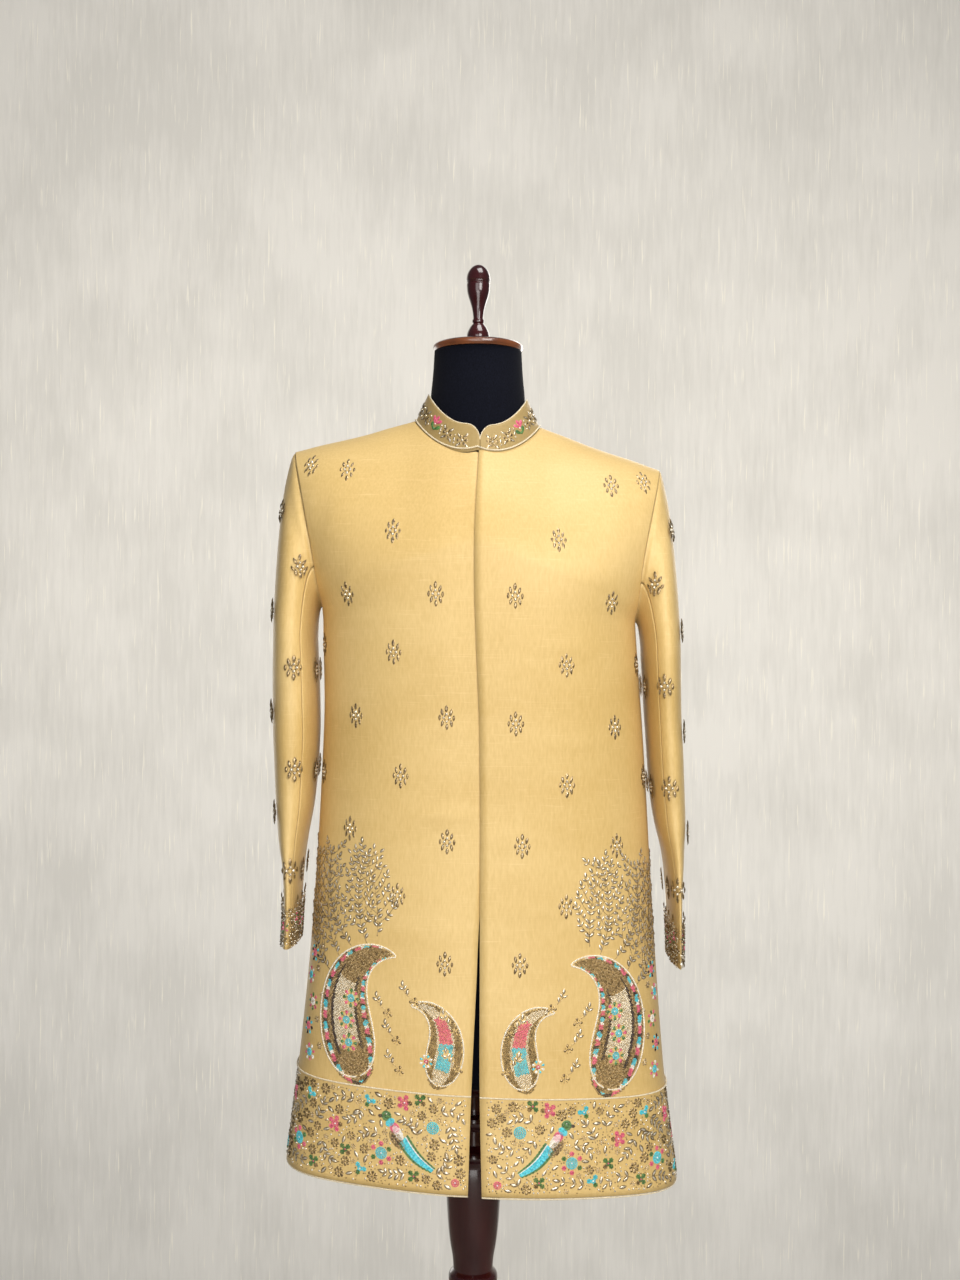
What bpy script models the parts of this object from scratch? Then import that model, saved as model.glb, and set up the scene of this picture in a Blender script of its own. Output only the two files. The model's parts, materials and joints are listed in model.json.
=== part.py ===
# Knee-length band-collar coat with long sleeves, on a limbless dress form with a turned stand.
# Metres, +Z up, the floor at z = 0, the front towards -Y.
# Left and right are the wearer's, so the left side is +X.

import math

import bmesh
import bpy
from mathutils import Vector


def table(columns, *rows):
    return {name: [row[i] for row in rows] for i, name in enumerate(columns.split())}


# Cloth and seams
CLOTH = 0.0020
GAP = 0.0003
CORD_RADIUS = 0.0013
LEAN = 0.045  # the coat hangs this much lower per metre towards its left side
ROUND = 2.4  # superellipse power of the body's level sections
LAP_STEP = 0.0026  # the under front lies this far inside the lap
LAP_FADE = 0.045  # and is flush again this far from the lap's edge
LAP_EDGE = 0.006

FRONT, BACK = -1, 1
LEFT, RIGHT = 1, -1

# Outside of the coat's body by height: half width, depth in front and behind, sideways sway
HEM = 0.437
BORDER_TOP = 0.560
ARMPIT = 1.163
BODY = table(
    "height half_width front back sway",
    (0.437, 0.2605, 0.1310, 0.1290, 0.0105),
    (0.570, 0.2435, 0.1290, 0.1270, 0.0102),
    (0.717, 0.2295, 0.1270, 0.1250, 0.0112),
    (0.850, 0.2200, 0.1275, 0.1230, 0.0113),
    (0.950, 0.2145, 0.1290, 0.1210, 0.0108),
    (1.030, 0.2105, 0.1320, 0.1205, 0.0095),
    (1.100, 0.2085, 0.1355, 0.1225, 0.0062),
    (1.163, 0.2075, 0.1380, 0.1255, 0.0030),
    (1.175, 0.2103, 0.1383, 0.1260, 0.0024),
    (1.190, 0.2170, 0.1385, 0.1265, 0.0018),
    (1.232, 0.2335, 0.1385, 0.1275, 0.0005),
    (1.267, 0.2475, 0.1375, 0.1275, 0.0),
    (1.313, 0.2620, 0.1370, 0.1270, 0.0),
    (1.350, 0.2700, 0.1370, 0.1270, 0.0),
    (1.460, 0.2700, 0.1370, 0.1270, 0.0),
)

# Soft flutes of the skirt, deepest at the hem
FLUTES = 6
FLUTE_DEPTH = 0.0024
FLUTE_TOP = 0.90

# Shoulder ridge, outside, from the neck's middle to the sleeve
SHOULDER_X = 0.243
RIDGE = table(
    "across height",
    (0.000, 1.4480),
    (0.083, 1.4175),
    (0.118, 1.4060),
    (0.145, 1.3965),
    (0.173, 1.3880),
    (0.207, 1.3785),
    (0.231, 1.3710),
    (0.243, 1.3675),
)
RIDGE_FALL = {FRONT: 0.190, BACK: 0.140}  # below the ridge the body takes this to reach full depth
NECK_ROUND = {FRONT: 1.4, BACK: 2.0}  # superellipse power of that fall beside the neck
SHOULDER_ROUND = 2.0

# Armhole seam as seen from the front
ARMHOLE = table(
    "height seam",
    (1.163, 0.2075),
    (1.175, 0.2078),
    (1.190, 0.2090),
    (1.232, 0.2137),
    (1.267, 0.2200),
    (1.313, 0.2300),
    (1.350, 0.2390),
    (1.3650, 0.2430),
)

# Neckline in plan
NECK_SIDE = 0.083
NECK_REACH = {FRONT: 0.0807, BACK: 0.0680}
NECK_PLAN_POWER = {FRONT: 1.25, BACK: 1.0}

# Edges of the two fronts: the left one laps over, the right one parts into a slit
FRONT_EDGE = table(
    "height lap under",
    (0.437, 0.0000, -0.0170),
    (0.570, -0.0030, -0.0130),
    (0.700, -0.0045, -0.0085),
    (0.785, -0.0050, -0.0050),
    (0.900, -0.0052, 0.0080),
    (1.000, -0.0055, 0.0120),
    (1.170, -0.0047, 0.0120),
    (1.290, -0.0020, 0.0130),
    (1.400, 0.0030, 0.0140),
)

# Sleeves, outside, by height: outer and inner edge from the front on each side, front and back
BICEP = 1.120
CUFF = 0.722
SLEEVE = table(
    "height left_outer left_inner right_outer right_inner front back",
    (0.722, 0.2705, 0.2565, 0.2525, 0.2305, 0.086, 0.040),
    (0.760, 0.2713, 0.2555, 0.2505, 0.2290, 0.086, 0.046),
    (0.820, 0.2727, 0.2515, 0.2545, 0.2250, 0.086, 0.056),
    (0.860, 0.2758, 0.2460, 0.2612, 0.2195, 0.086, 0.062),
    (0.900, 0.2780, 0.2360, 0.2646, 0.2125, 0.086, 0.067),
    (0.940, 0.2775, 0.2300, 0.2672, 0.2085, 0.086, 0.072),
    (1.000, 0.2748, 0.2255, 0.2697, 0.2055, 0.087, 0.078),
    (1.060, 0.2725, 0.2215, 0.2710, 0.2070, 0.089, 0.084),
    (1.120, 0.2715, 0.2180, 0.2704, 0.2100, 0.091, 0.087),
)
SLEEVE_ROUND = 2.3
SLEEVE_SEAMS = (math.radians(120), math.radians(-100))  # front and back seam, round from the top
SEAM_ANGLE = 0.006
# How far a sleeve cap leaves its armhole sideways, as a share of its run: at its outer edge and underneath
CAP_OUT = {LEFT: 0.14, RIGHT: 0.20}
UNDER_OUT = 0.32
CAP_DOWN = 1.0
SEAM_STAND = 1.5  # the sleeve's seam stands this many walls off where the body slopes under it
SEAM_TOP = 0.011  # that slope is measured no nearer to the ridge than this

# Collar band
COLLAR_RISE = 0.035
COLLAR_INSIDE = 0.0030  # the band's inner side stands this far inside the neckline
COLLAR_LIFT = 0.0017
COLLAR_TOP = {"side": 0.0645, FRONT: 0.0665, BACK: 0.0650}  # inside of its top edge, in plan
COLLAR_CORNER = 0.022
COLLAR_END = 0.22  # share of the rise that the square part of each front end takes
COLLAR_SPLIT = 0.0033  # where the two ends meet, across
COLLAR_CROWD = 0.7  # draws the columns towards the front ends
PIPING_AT = 0.07  # share of the rise at which the piping lies
PIPING_SLOPE = 0.25  # share of the rise over which the band's slope is taken

# Form, from the floor up
TORSO = table(
    "height half_width front back",
    (0.558, 0.150, 0.094, 0.098),
    (0.572, 0.166, 0.106, 0.112),
    (0.660, 0.179, 0.110, 0.120),
    (0.800, 0.172, 0.107, 0.110),
    (0.970, 0.152, 0.100, 0.096),
    (1.100, 0.168, 0.113, 0.106),
    (1.220, 0.188, 0.120, 0.113),
    (1.300, 0.200, 0.122, 0.115),
    (1.350, 0.206, 0.123, 0.115),
    (1.500, 0.206, 0.123, 0.115),
)
TORSO_EASE = 0.0016  # the form's shoulders lie this far under the cloth
TORSO_LEAN = (1.1, 1.25)  # between these heights the form takes on the cloth's lean
NECK_UPRIGHT = (1.415, 1.455)  # and between these it stands upright again
PLAN_LIMIT = 0.3  # no part of the form reaches this far from its axis
HALVINGS = 24
NECK_DEPTH = 0.93  # of its width
NECK = table(
    "height radius",
    (1.380, 0.0630),
    (1.420, 0.0632),
    (1.440, 0.0630),
    (1.458, 0.0622),
    (1.474, 0.0606),
    (1.490, 0.0593),
    (1.514, 0.0580),
)
NECK_TOP = 1.514
NECK_BLEND = 24  # how sharply the shoulders turn into the neck
CAP_RADIUS = 0.0593
CAP_TOP = 1.5245

# Turned profiles: radius, height
FINIAL_PROFILE = (
    (0.0, 1.630),
    (0.006, 1.6285),
    (0.0115, 1.6235),
    (0.0147, 1.617),
    (0.0160, 1.609),
    (0.0147, 1.594),
    (0.0127, 1.586),
    (0.0100, 1.578),
    (0.0080, 1.570),
    (0.0067, 1.561),
    (0.0078, 1.556),
    (0.0078, 1.552),
    (0.0105, 1.547),
    (0.0140, 1.540),
    (0.0150, 1.534),
    (0.0140, 1.528),
    (0.0140, 1.5248),
    (0.0, 1.5248),
)
CAP_PROFILE = (
    (0.0, CAP_TOP),
    (0.0500, CAP_TOP),
    (0.0560, 1.5235),
    (CAP_RADIUS, 1.5210),
    (CAP_RADIUS, 1.5172),
    (0.0575, 1.5143),
    (0.0, 1.5143),
)
POST_PROFILE = (
    (0.0, 0.5577),
    (0.0460, 0.5577),
    (0.0480, 0.550),
    (0.0440, 0.541),
    (0.0300, 0.530),
    (0.0280, 0.512),
    (0.0360, 0.503),
    (0.0380, 0.497),
    (0.0360, 0.491),
    (0.0290, 0.483),
    (0.0300, 0.465),
    (0.0380, 0.456),
    (0.0400, 0.450),
    (0.0370, 0.444),
    (0.0345, 0.438),
    (0.0360, 0.420),
    (0.0362, 0.398),
    (0.0347, 0.370),
    (0.0333, 0.350),
    (0.0310, 0.330),
    (0.0275, 0.310),
    (0.0262, 0.294),
    (0.0315, 0.288),
    (0.0325, 0.281),
    (0.0310, 0.274),
    (0.0250, 0.266),
    (0.0240, 0.150),
    (0.0270, 0.090),
    (0.0380, 0.0563),
    (0.0, 0.0563),
)
BASE_PROFILE = (
    (0.0, 0.056),
    (0.0470, 0.056),
    (0.0520, 0.050),
    (0.0560, 0.040),
    (0.1000, 0.034),
    (0.1720, 0.028),
    (0.1850, 0.024),
    (0.1900, 0.016),
    (0.1880, 0.004),
    (0.1840, 0.0),
    (0.0, 0.0),
)

# Grid rows and columns
SKIRT_ROWS = (HEM, 0.497, BORDER_TOP, 0.640, 0.717, 0.800, 0.880, 0.960, 1.030, 1.100)
CHEST_ROWS = 7  # from the armpit level to the neckline at the centre
NECK_ROWS = 5  # round the neckline to the shoulder seam
PANEL_COLUMNS = 14
CAP_ROWS = (0.0, 0.10, 0.22, 0.36, 0.54, 0.76)
ARM_ROWS = (BICEP, 1.060, 1.000, 0.940, 0.880, 0.820, 0.770, 0.742, CUFF)
UPPER_COLUMNS = 14
UNDER_COLUMNS = 8
COLLAR_COLUMNS = 36
COLLAR_ROWS = 3
TORSO_SIDES = 32
TORSO_LEVELS = (
    0.558, 0.572, 0.615, 0.680, 0.780, 0.880, 0.970, 1.060, 1.140, 1.220, 1.280,
    1.320, 1.345, 1.362, 1.374, 1.384, 1.394, 1.404, 1.413, 1.424, 1.440, 1.474, NECK_TOP,
)
TURNED_STEPS = 22
PROBE = 0.01  # step in angle and height for a surface's normal
MERGE = 0.00001


def lerp(start, end, share):
    return start + (end - start) * share


def smooth(share):
    share = min(max(share, 0.0), 1.0)
    return share * share * (3.0 - 2.0 * share)


def passed(height, span):
    return smooth((height - span[0]) / (span[1] - span[0]))


# A table's column at a height, along one smooth curve through its rows
def along(rows, column, at, key="height"):
    keys = rows[key]
    values = rows[column]
    last = len(keys) - 1
    at = min(max(at, keys[0]), keys[last])
    low = max(i for i in range(last) if keys[i] <= at)

    def slope(i):
        before, after = max(i - 1, 0), min(i + 1, last)
        return (values[after] - values[before]) / (keys[after] - keys[before])

    span = keys[low + 1] - keys[low]
    t = (at - keys[low]) / span
    return (
        values[low] * (1 + 2 * t) * (1 - t) ** 2
        + slope(low) * span * t * (1 - t) ** 2
        + values[low + 1] * t * t * (3 - 2 * t)
        + slope(low + 1) * span * t * t * (t - 1)
    )


def ridge(across):
    return along(RIDGE, "height", abs(across), key="across") - CLOTH


def quarter(share, power):
    share = min(max(share, 0.0), 1.0)
    return (1.0 - (1.0 - share) ** power) ** (1.0 / power)


def fall_power(face, across):
    share = smooth((abs(across) - NECK_SIDE) / (SHOULDER_X - NECK_SIDE))
    return lerp(NECK_ROUND[face], SHOULDER_ROUND, share)


def sine_part(angle):
    return math.copysign(abs(math.sin(angle)) ** (2 / ROUND), math.sin(angle))


def cosine_part(angle):
    return max(math.cos(angle), 0.0) ** (2 / ROUND)


def angle_at(across, half_width):
    share = min(abs(across) / half_width, 1.0)
    return math.copysign(math.asin(share ** (ROUND / 2)), across)


def half_width(height):
    return along(BODY, "half_width", height) - CLOTH


def full_depth(face, height):
    return along(BODY, "front" if face == FRONT else "back", height) - CLOTH


# Inside of the coat's body: angle from the centre line to the side, and height before the lean
def on_body(face, side, angle, height, inset=0.0):
    flute = FLUTE_DEPTH * smooth((FLUTE_TOP - height) / (FLUTE_TOP - HEM)) * math.cos(FLUTES * angle)
    across = (half_width(height) + flute) * sine_part(angle)
    drop = ridge(across) - inset - height
    depth = (full_depth(face, height) + flute - inset) * cosine_part(angle)
    depth *= quarter(drop / RIDGE_FALL[face], fall_power(face, across))
    x = side * across
    return Vector((x + along(BODY, "sway", height), face * (GAP / 2 + depth), height - LEAN * x))


# Outward normal of that surface
def body_normal(face, side, angle, height):
    turn = on_body(face, side, angle + PROBE, height) - on_body(face, side, angle - PROBE, height)
    rise = on_body(face, side, angle, height + PROBE) - on_body(face, side, angle, height - PROBE)
    return (turn.cross(rise) * -side * face).normalized()


# Height at which the body's inside stands over a point of the plan, beside the neck
def height_over(face, across, reach, inset=0.0):
    top = RIDGE["height"][0]
    depth = (full_depth(face, top) - inset) * cosine_part(angle_at(across, half_width(top)))
    power = fall_power(face, across)
    share = min(max((reach - GAP / 2) / depth, 0.0), 1.0)
    return ridge(across) - inset - RIDGE_FALL[face] * (1.0 - (1.0 - share**power) ** (1.0 / power))


def neck_plan(face, turn, inside=0.0):
    reach = (NECK_REACH[face] - inside) * max(math.cos(turn), 0.0) ** NECK_PLAN_POWER[face]
    return (NECK_SIDE - inside) * math.sin(turn), reach


def arm_height(share):
    top = ridge(SHOULDER_X - CLOTH)
    return lerp(ARMPIT, top, (1 - math.cos(math.pi * share)) / 2)


def lap_inset(side, face, across):
    if face == BACK or side == LEFT:
        return 0.0
    return LAP_STEP * smooth(1 - (across - LAP_EDGE) / LAP_FADE)


def inner_edge(side, face, height):
    if face == BACK:
        return 0.0
    return side * along(FRONT_EDGE, "lap" if side == LEFT else "under", height)


# One half of the front or back as a grid of points: columns run from the centre to the side seam,
# rows from the hem to the armpit level and then fan up to the shoulder seam.
def panel_point(face, side, column, row, columns=PANEL_COLUMNS):
    share = column / columns
    if row < len(SKIRT_ROWS):
        height = SKIRT_ROWS[row]
        start = angle_at(inner_edge(side, face, height), half_width(height))
        angle = lerp(start, math.pi / 2, share)
        inset = lap_inset(side, face, half_width(height) * sine_part(angle))
        return on_body(face, side, angle, height, inset)
    up = row - len(SKIRT_ROWS)
    rise = up / (CHEST_ROWS + NECK_ROWS)
    outer_height = arm_height(rise)
    outer = along(ARMHOLE, "seam", outer_height) - CLOTH
    corner = inner_edge(side, face, RIDGE["height"][0])
    first_turn = math.asin(corner / NECK_SIDE)
    turn = lerp(first_turn, math.pi / 2, max(up - CHEST_ROWS, 0) / NECK_ROWS)
    inner, reach = neck_plan(face, turn)
    inset = lap_inset(side, face, inner)
    inner_height = height_over(face, inner, reach, inset)
    if up < CHEST_ROWS:
        inner_height = lerp(ARMPIT, inner_height, up / CHEST_ROWS)
        inner = inner_edge(side, face, inner_height)
    start = angle_at(inner, half_width(inner_height))
    end = angle_at(outer, half_width(outer_height))
    angle = lerp(start, end, share)
    height = lerp(inner_height, outer_height, share)
    across = half_width(height) * sine_part(angle)
    height += rise * (ridge(across) - lerp(ridge(inner), ridge(outer), share))
    return on_body(face, side, angle, height, lap_inset(side, face, across))


def armhole_start(side, around):
    face = FRONT if around >= 0 else BACK
    height = arm_height(1 - abs(around) / math.pi)
    angle = angle_at(along(ARMHOLE, "seam", height) - CLOTH, half_width(height))
    lean_out = abs(body_normal(face, side, angle, min(height, ridge(SHOULDER_X) - SEAM_TOP)).x)
    step = GAP + CLOTH * SEAM_STAND * lean_out
    return on_body(face, side, angle, height) + Vector((side * step, 0, 0))


# Level ring of a sleeve; around is 0 at its outer edge and grows towards the front
def sleeve_ring(side, around, height):
    name = "left" if side == LEFT else "right"
    outer = along(SLEEVE, name + "_outer", height)
    inner = along(SLEEVE, name + "_inner", height)
    front = along(SLEEVE, "front", height)
    back = along(SLEEVE, "back", height)
    wide = math.copysign(abs(math.cos(around)) ** (2 / SLEEVE_ROUND), math.cos(around))
    deep = math.copysign(abs(math.sin(around)) ** (2 / SLEEVE_ROUND), math.sin(around))
    x = side * ((outer + inner) / 2 + ((outer - inner) / 2 - CLOTH) * wide)
    y = (back - front) / 2 - ((back + front) / 2 - CLOTH) * deep
    return Vector((x, y, height - LEAN * x))


def sleeve_point(side, around, row):
    if row >= len(CAP_ROWS):
        return sleeve_ring(side, around, ARM_ROWS[row - len(CAP_ROWS)])
    t = CAP_ROWS[row]
    start = armhole_start(side, (around + math.pi) % (2 * math.pi) - math.pi)
    end = sleeve_ring(side, around, BICEP)
    run = (end - start).length
    share = lerp(UNDER_OUT, CAP_OUT[side], (1 + math.cos(around)) / 2)
    out = Vector((side * run * share, 0, 0))
    down = Vector((0, 0, -run * CAP_DOWN))
    return (
        start * ((1 + 2 * t) * (1 - t) ** 2)
        + out * (t * (1 - t) ** 2)
        + end * (t * t * (3 - 2 * t))
        + down * (t * t * (t - 1))
    )


def material(name, color, roughness, metallic=0.0):
    made = bpy.data.materials.new(name)
    made.use_nodes = True
    shader = made.node_tree.nodes["Principled BSDF"]
    shader.inputs["Base Color"].default_value = (*color, 1.0)
    shader.inputs["Roughness"].default_value = roughness
    shader.inputs["Metallic"].default_value = metallic
    return made


def finish(name, mesh, collection, color):
    mesh.materials.append(color)
    mesh.shade_smooth()
    made = bpy.data.objects.new(name, mesh)
    collection.objects.link(made)
    return made


# Adds an open grid to a mesh, its faces turned outwards
def add_grid(bm, columns, rows, place, flip):
    made = bmesh.ops.create_grid(bm, x_segments=columns, y_segments=rows, size=0.5)
    for vert in made["verts"]:
        vert.co = place(round((vert.co.x + 0.5) * columns), round((vert.co.y + 0.5) * rows))
    if flip:
        faces = {face for vert in made["verts"] for face in vert.link_faces}
        bmesh.ops.reverse_faces(bm, faces=list(faces))


def cloth(name, bm, collection, color):
    mesh = bpy.data.meshes.new(name)
    bm.to_mesh(mesh)
    bm.free()
    made = finish(name, mesh, collection, color)
    wall = made.modifiers.new("wall", "SOLIDIFY")
    wall.thickness = CLOTH
    wall.offset = 1.0
    wall.use_even_offset = True
    return made


def panel_rows():
    return len(SKIRT_ROWS) + CHEST_ROWS + NECK_ROWS


def add_half(bm, face, side):
    add_grid(
        bm,
        PANEL_COLUMNS,
        panel_rows(),
        lambda column, row: panel_point(face, side, column, row),
        side * face > 0,
    )


def make_front(name, side, collection, color):
    bm = bmesh.new()
    add_half(bm, FRONT, side)
    return cloth(name, bm, collection, color)


def make_back(collection, color):
    bm = bmesh.new()
    add_half(bm, BACK, LEFT)
    add_half(bm, BACK, RIGHT)
    bmesh.ops.remove_doubles(bm, verts=bm.verts, dist=MERGE)
    return cloth("back", bm, collection, color)


def make_sleeve(name, side, first, last, columns, collection, color):
    first += SEAM_ANGLE
    last -= SEAM_ANGLE
    bm = bmesh.new()
    add_grid(
        bm,
        columns,
        len(CAP_ROWS) + len(ARM_ROWS) - 1,
        lambda column, row: sleeve_point(side, lerp(first, last, column / columns), row),
        side == RIGHT,
    )
    return cloth(name, bm, collection, color)


def make_sleeves(collection, color):
    front_seam, back_seam = SLEEVE_SEAMS
    for name, side in (("left", LEFT), ("right", RIGHT)):
        upper = f"sleeve_{name}_upper"
        under = f"sleeve_{name}_under"
        make_sleeve(upper, side, back_seam, front_seam, UPPER_COLUMNS, collection, color)
        make_sleeve(under, side, front_seam, back_seam + 2 * math.pi, UNDER_COLUMNS, collection, color)


# The band's inner side: turn runs from the front over the left side to the back
def collar_point(turn, share):
    face = FRONT if math.cos(turn) > 0 else BACK
    plan_turn = math.acos(abs(math.cos(turn)))
    side = math.copysign(1.0, math.sin(turn))
    seam_x, seam_reach = neck_plan(face, plan_turn)
    low_x, low_reach = neck_plan(face, plan_turn, COLLAR_INSIDE)
    height = height_over(face, seam_x, seam_reach) + COLLAR_LIFT
    low = Vector((side * low_x, face * low_reach, height))
    top_x = COLLAR_TOP["side"] * math.sin(plan_turn)
    top_reach = COLLAR_TOP[face] * math.cos(plan_turn)
    top = Vector((side * top_x, face * top_reach, height + COLLAR_RISE))
    point = low.lerp(top, share)
    point.z -= LEAN * point.x
    return point


def collar_turn(column):
    share = column / COLLAR_COLUMNS
    start = math.asin(COLLAR_SPLIT / NECK_SIDE) + GAP / NECK_SIDE
    spread = COLLAR_CROWD * math.sin(2 * math.pi * share) / (2 * math.pi)
    return start + (share - spread) * (2 * math.pi - 2 * GAP / NECK_SIDE)


def collar_height(turn):
    start = math.asin(COLLAR_SPLIT / NECK_SIDE)
    from_end = NECK_REACH[FRONT] * min(turn - start, start + 2 * math.pi - turn)
    return lerp(COLLAR_END, 1.0, quarter(from_end / COLLAR_CORNER, 2.0))


def make_collar(collection, color):
    bm = bmesh.new()

    def place(column, row):
        turn = collar_turn(column)
        return collar_point(turn, collar_height(turn) * row / COLLAR_ROWS)

    add_grid(bm, COLLAR_COLUMNS, COLLAR_ROWS, place, False)
    return cloth("collar", bm, collection, color)


def make_cord(name, points, collection, color):
    curve = bpy.data.curves.new(name, "CURVE")
    curve.dimensions = "3D"
    curve.bevel_depth = CORD_RADIUS
    curve.bevel_resolution = 1
    curve.use_fill_caps = True
    spline = curve.splines.new("POLY")
    spline.points.add(len(points) - 1)
    for made, point in zip(spline.points, points):
        made.co = (*point, 1.0)
    curve.materials.append(color)
    collection.objects.link(bpy.data.objects.new(name, curve))


def skirt_angle(face, side, column, height):
    start = angle_at(inner_edge(side, face, height), half_width(height))
    return lerp(start, math.pi / 2, column / PANEL_COLUMNS)


# A skirt panel's points along one level, each moved out along the surface and up
def level_run(face, side, height, out, up):
    row = SKIRT_ROWS.index(height)
    points = []
    for column in range(PANEL_COLUMNS + 1):
        normal = body_normal(face, side, skirt_angle(face, side, column, height), height)
        points.append(panel_point(face, side, column, row) + normal * out + Vector((0, 0, up)))
    return points


def make_edge_cords(collection, color):
    runs = (
        ("border_cord", BORDER_TOP, CLOTH + GAP + CORD_RADIUS, 0.0),
        ("hem_piping", HEM, CLOTH / 2, -(GAP + CORD_RADIUS)),
    )
    for name, height, out, up in runs:
        make_cord(name + "_left", level_run(FRONT, LEFT, height, out, up), collection, color)
        make_cord(name + "_right", level_run(FRONT, RIGHT, height, out, up), collection, color)
        back_right = level_run(BACK, RIGHT, height, out, up)
        back_left = level_run(BACK, LEFT, height, out, up)
        make_cord(name + "_back", back_right[:0:-1] + back_left, collection, color)


# Cord over the collar seam, in the corner between the band and the body
def make_collar_piping(collection, color):
    points = []
    for column in range(COLLAR_COLUMNS + 1):
        turn = collar_turn(column)
        across = collar_point(turn, PIPING_SLOPE) - collar_point(turn, 0.0)
        outward = Vector((math.sin(turn), -math.cos(turn), 0.0))
        band_side = across.cross(outward.cross(across)).normalized()
        points.append(collar_point(turn, PIPING_AT) + band_side * (CLOTH + GAP + CORD_RADIUS))
    make_cord("collar_piping", points, collection, color)


# Is a point of the plan inside the form's shoulders and trunk at this height?
def in_trunk(x, y, height):
    face = FRONT if y < 0 else BACK
    wide = along(TORSO, "half_width", height)
    deep = along(TORSO, "front" if face == FRONT else "back", height)
    if abs(x) >= wide:
        return False
    deep *= (1 - (abs(x) / wide) ** ROUND) ** (1 / ROUND)
    drop = ridge(x) - TORSO_EASE - height
    return drop > 0 and abs(y) < deep * quarter(drop / RIDGE_FALL[face], fall_power(face, x))


def trunk_radius(turn, height):
    inside, outside = 0.0, PLAN_LIMIT
    for _ in range(HALVINGS):
        middle = (inside + outside) / 2
        if in_trunk(middle * math.sin(turn), -middle * math.cos(turn), height):
            inside = middle
        else:
            outside = middle
    return inside


def neck_radius(turn, height):
    if height < NECK["height"][0]:
        return 0.0
    return along(NECK, "radius", height) / math.hypot(math.sin(turn), math.cos(turn) / NECK_DEPTH)


def make_torso(collection, color):
    bm = bmesh.new()
    rings = []
    for height in TORSO_LEVELS:
        ring = []
        for i in range(TORSO_SIDES):
            turn = 2 * math.pi * i / TORSO_SIDES
            neck = neck_radius(turn, height)
            radius = (trunk_radius(turn, height) ** NECK_BLEND + neck**NECK_BLEND) ** (1 / NECK_BLEND)
            x = radius * math.sin(turn)
            lean = LEAN * passed(height, TORSO_LEAN) * (1 - passed(height, NECK_UPRIGHT))
            ring.append(bm.verts.new((x, -radius * math.cos(turn), height - lean * x)))
        rings.append(ring)
    for low, high in zip(rings, rings[1:]):
        for i in range(TORSO_SIDES):
            after = (i + 1) % TORSO_SIDES
            bm.faces.new((low[i], low[after], high[after], high[i]))
    bm.faces.new(rings[0][::-1])
    bm.faces.new(rings[-1])
    mesh = bpy.data.meshes.new("form_torso")
    bm.to_mesh(mesh)
    bm.free()
    return finish("form_torso", mesh, collection, color)


# A turned piece: its profile runs down the outer side
def make_turned(name, profile, collection, color):
    bm = bmesh.new()
    verts = [bm.verts.new((radius, 0.0, height)) for radius, height in profile]
    for upper, lower in zip(verts, verts[1:]):
        bm.edges.new((upper, lower))
    mesh = bpy.data.meshes.new(name)
    bm.to_mesh(mesh)
    bm.free()
    made = finish(name, mesh, collection, color)
    screw = made.modifiers.new("turned", "SCREW")
    screw.steps = TURNED_STEPS
    screw.render_steps = TURNED_STEPS
    screw.use_merge_vertices = True
    screw.merge_threshold = MERGE
    return made


def main():
    for old in list(bpy.data.objects):
        bpy.data.objects.remove(old)
    parts = bpy.data.collections.new("coat_on_form")
    bpy.context.scene.collection.children.link(parts)

    silk = material("mustard silk", (0.72, 0.47, 0.15), 0.45)
    trim = material("cream cord", (0.80, 0.70, 0.50), 0.55)
    jersey = material("black jersey", (0.012, 0.012, 0.018), 0.9)
    mahogany = material("dark mahogany", (0.060, 0.008, 0.008), 0.2)
    rim = material("amber wood", (0.36, 0.12, 0.03), 0.3)

    make_front("front_left", LEFT, parts, silk)
    make_front("front_right", RIGHT, parts, silk)
    make_back(parts, silk)
    make_sleeves(parts, silk)
    make_collar(parts, silk)
    make_collar_piping(parts, trim)
    make_edge_cords(parts, trim)
    make_torso(parts, jersey)
    make_turned("neck_cap", CAP_PROFILE, parts, rim)
    make_turned("finial", FINIAL_PROFILE, parts, mahogany)
    make_turned("post", POST_PROFILE, parts, mahogany)
    make_turned("base", BASE_PROFILE, parts, mahogany)


main()
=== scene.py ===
# Looks of the band-collar coat on its dress form: cloth, cords, embroidery, jersey, wood and light.
# Metres, +Z up, the front towards -Y. Left and right are the wearer's, so the left side is +X.
# Every surface is worked out from the same tables as the part's solids, on finer grids.

import json
import math

import bpy
import numpy as np
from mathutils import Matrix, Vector

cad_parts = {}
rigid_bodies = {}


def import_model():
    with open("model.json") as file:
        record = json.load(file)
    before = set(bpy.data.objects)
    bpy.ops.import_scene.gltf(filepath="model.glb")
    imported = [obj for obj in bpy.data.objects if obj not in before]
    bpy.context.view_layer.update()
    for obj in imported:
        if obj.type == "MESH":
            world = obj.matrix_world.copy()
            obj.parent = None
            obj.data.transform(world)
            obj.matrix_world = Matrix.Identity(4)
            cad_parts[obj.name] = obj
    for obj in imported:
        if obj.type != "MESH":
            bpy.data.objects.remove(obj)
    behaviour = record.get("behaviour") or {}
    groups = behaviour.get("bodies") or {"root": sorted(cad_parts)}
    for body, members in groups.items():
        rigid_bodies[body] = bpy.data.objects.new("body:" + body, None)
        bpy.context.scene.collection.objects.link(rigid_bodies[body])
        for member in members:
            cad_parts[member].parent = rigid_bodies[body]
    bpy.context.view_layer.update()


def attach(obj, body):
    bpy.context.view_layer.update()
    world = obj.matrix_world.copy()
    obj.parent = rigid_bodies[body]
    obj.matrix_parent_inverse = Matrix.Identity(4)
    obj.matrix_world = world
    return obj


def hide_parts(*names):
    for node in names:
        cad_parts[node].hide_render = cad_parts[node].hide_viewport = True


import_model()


def table(columns, *rows):
    return {name: np.array([row[i] for row in rows], float) for i, name in enumerate(columns.split())}


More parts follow.
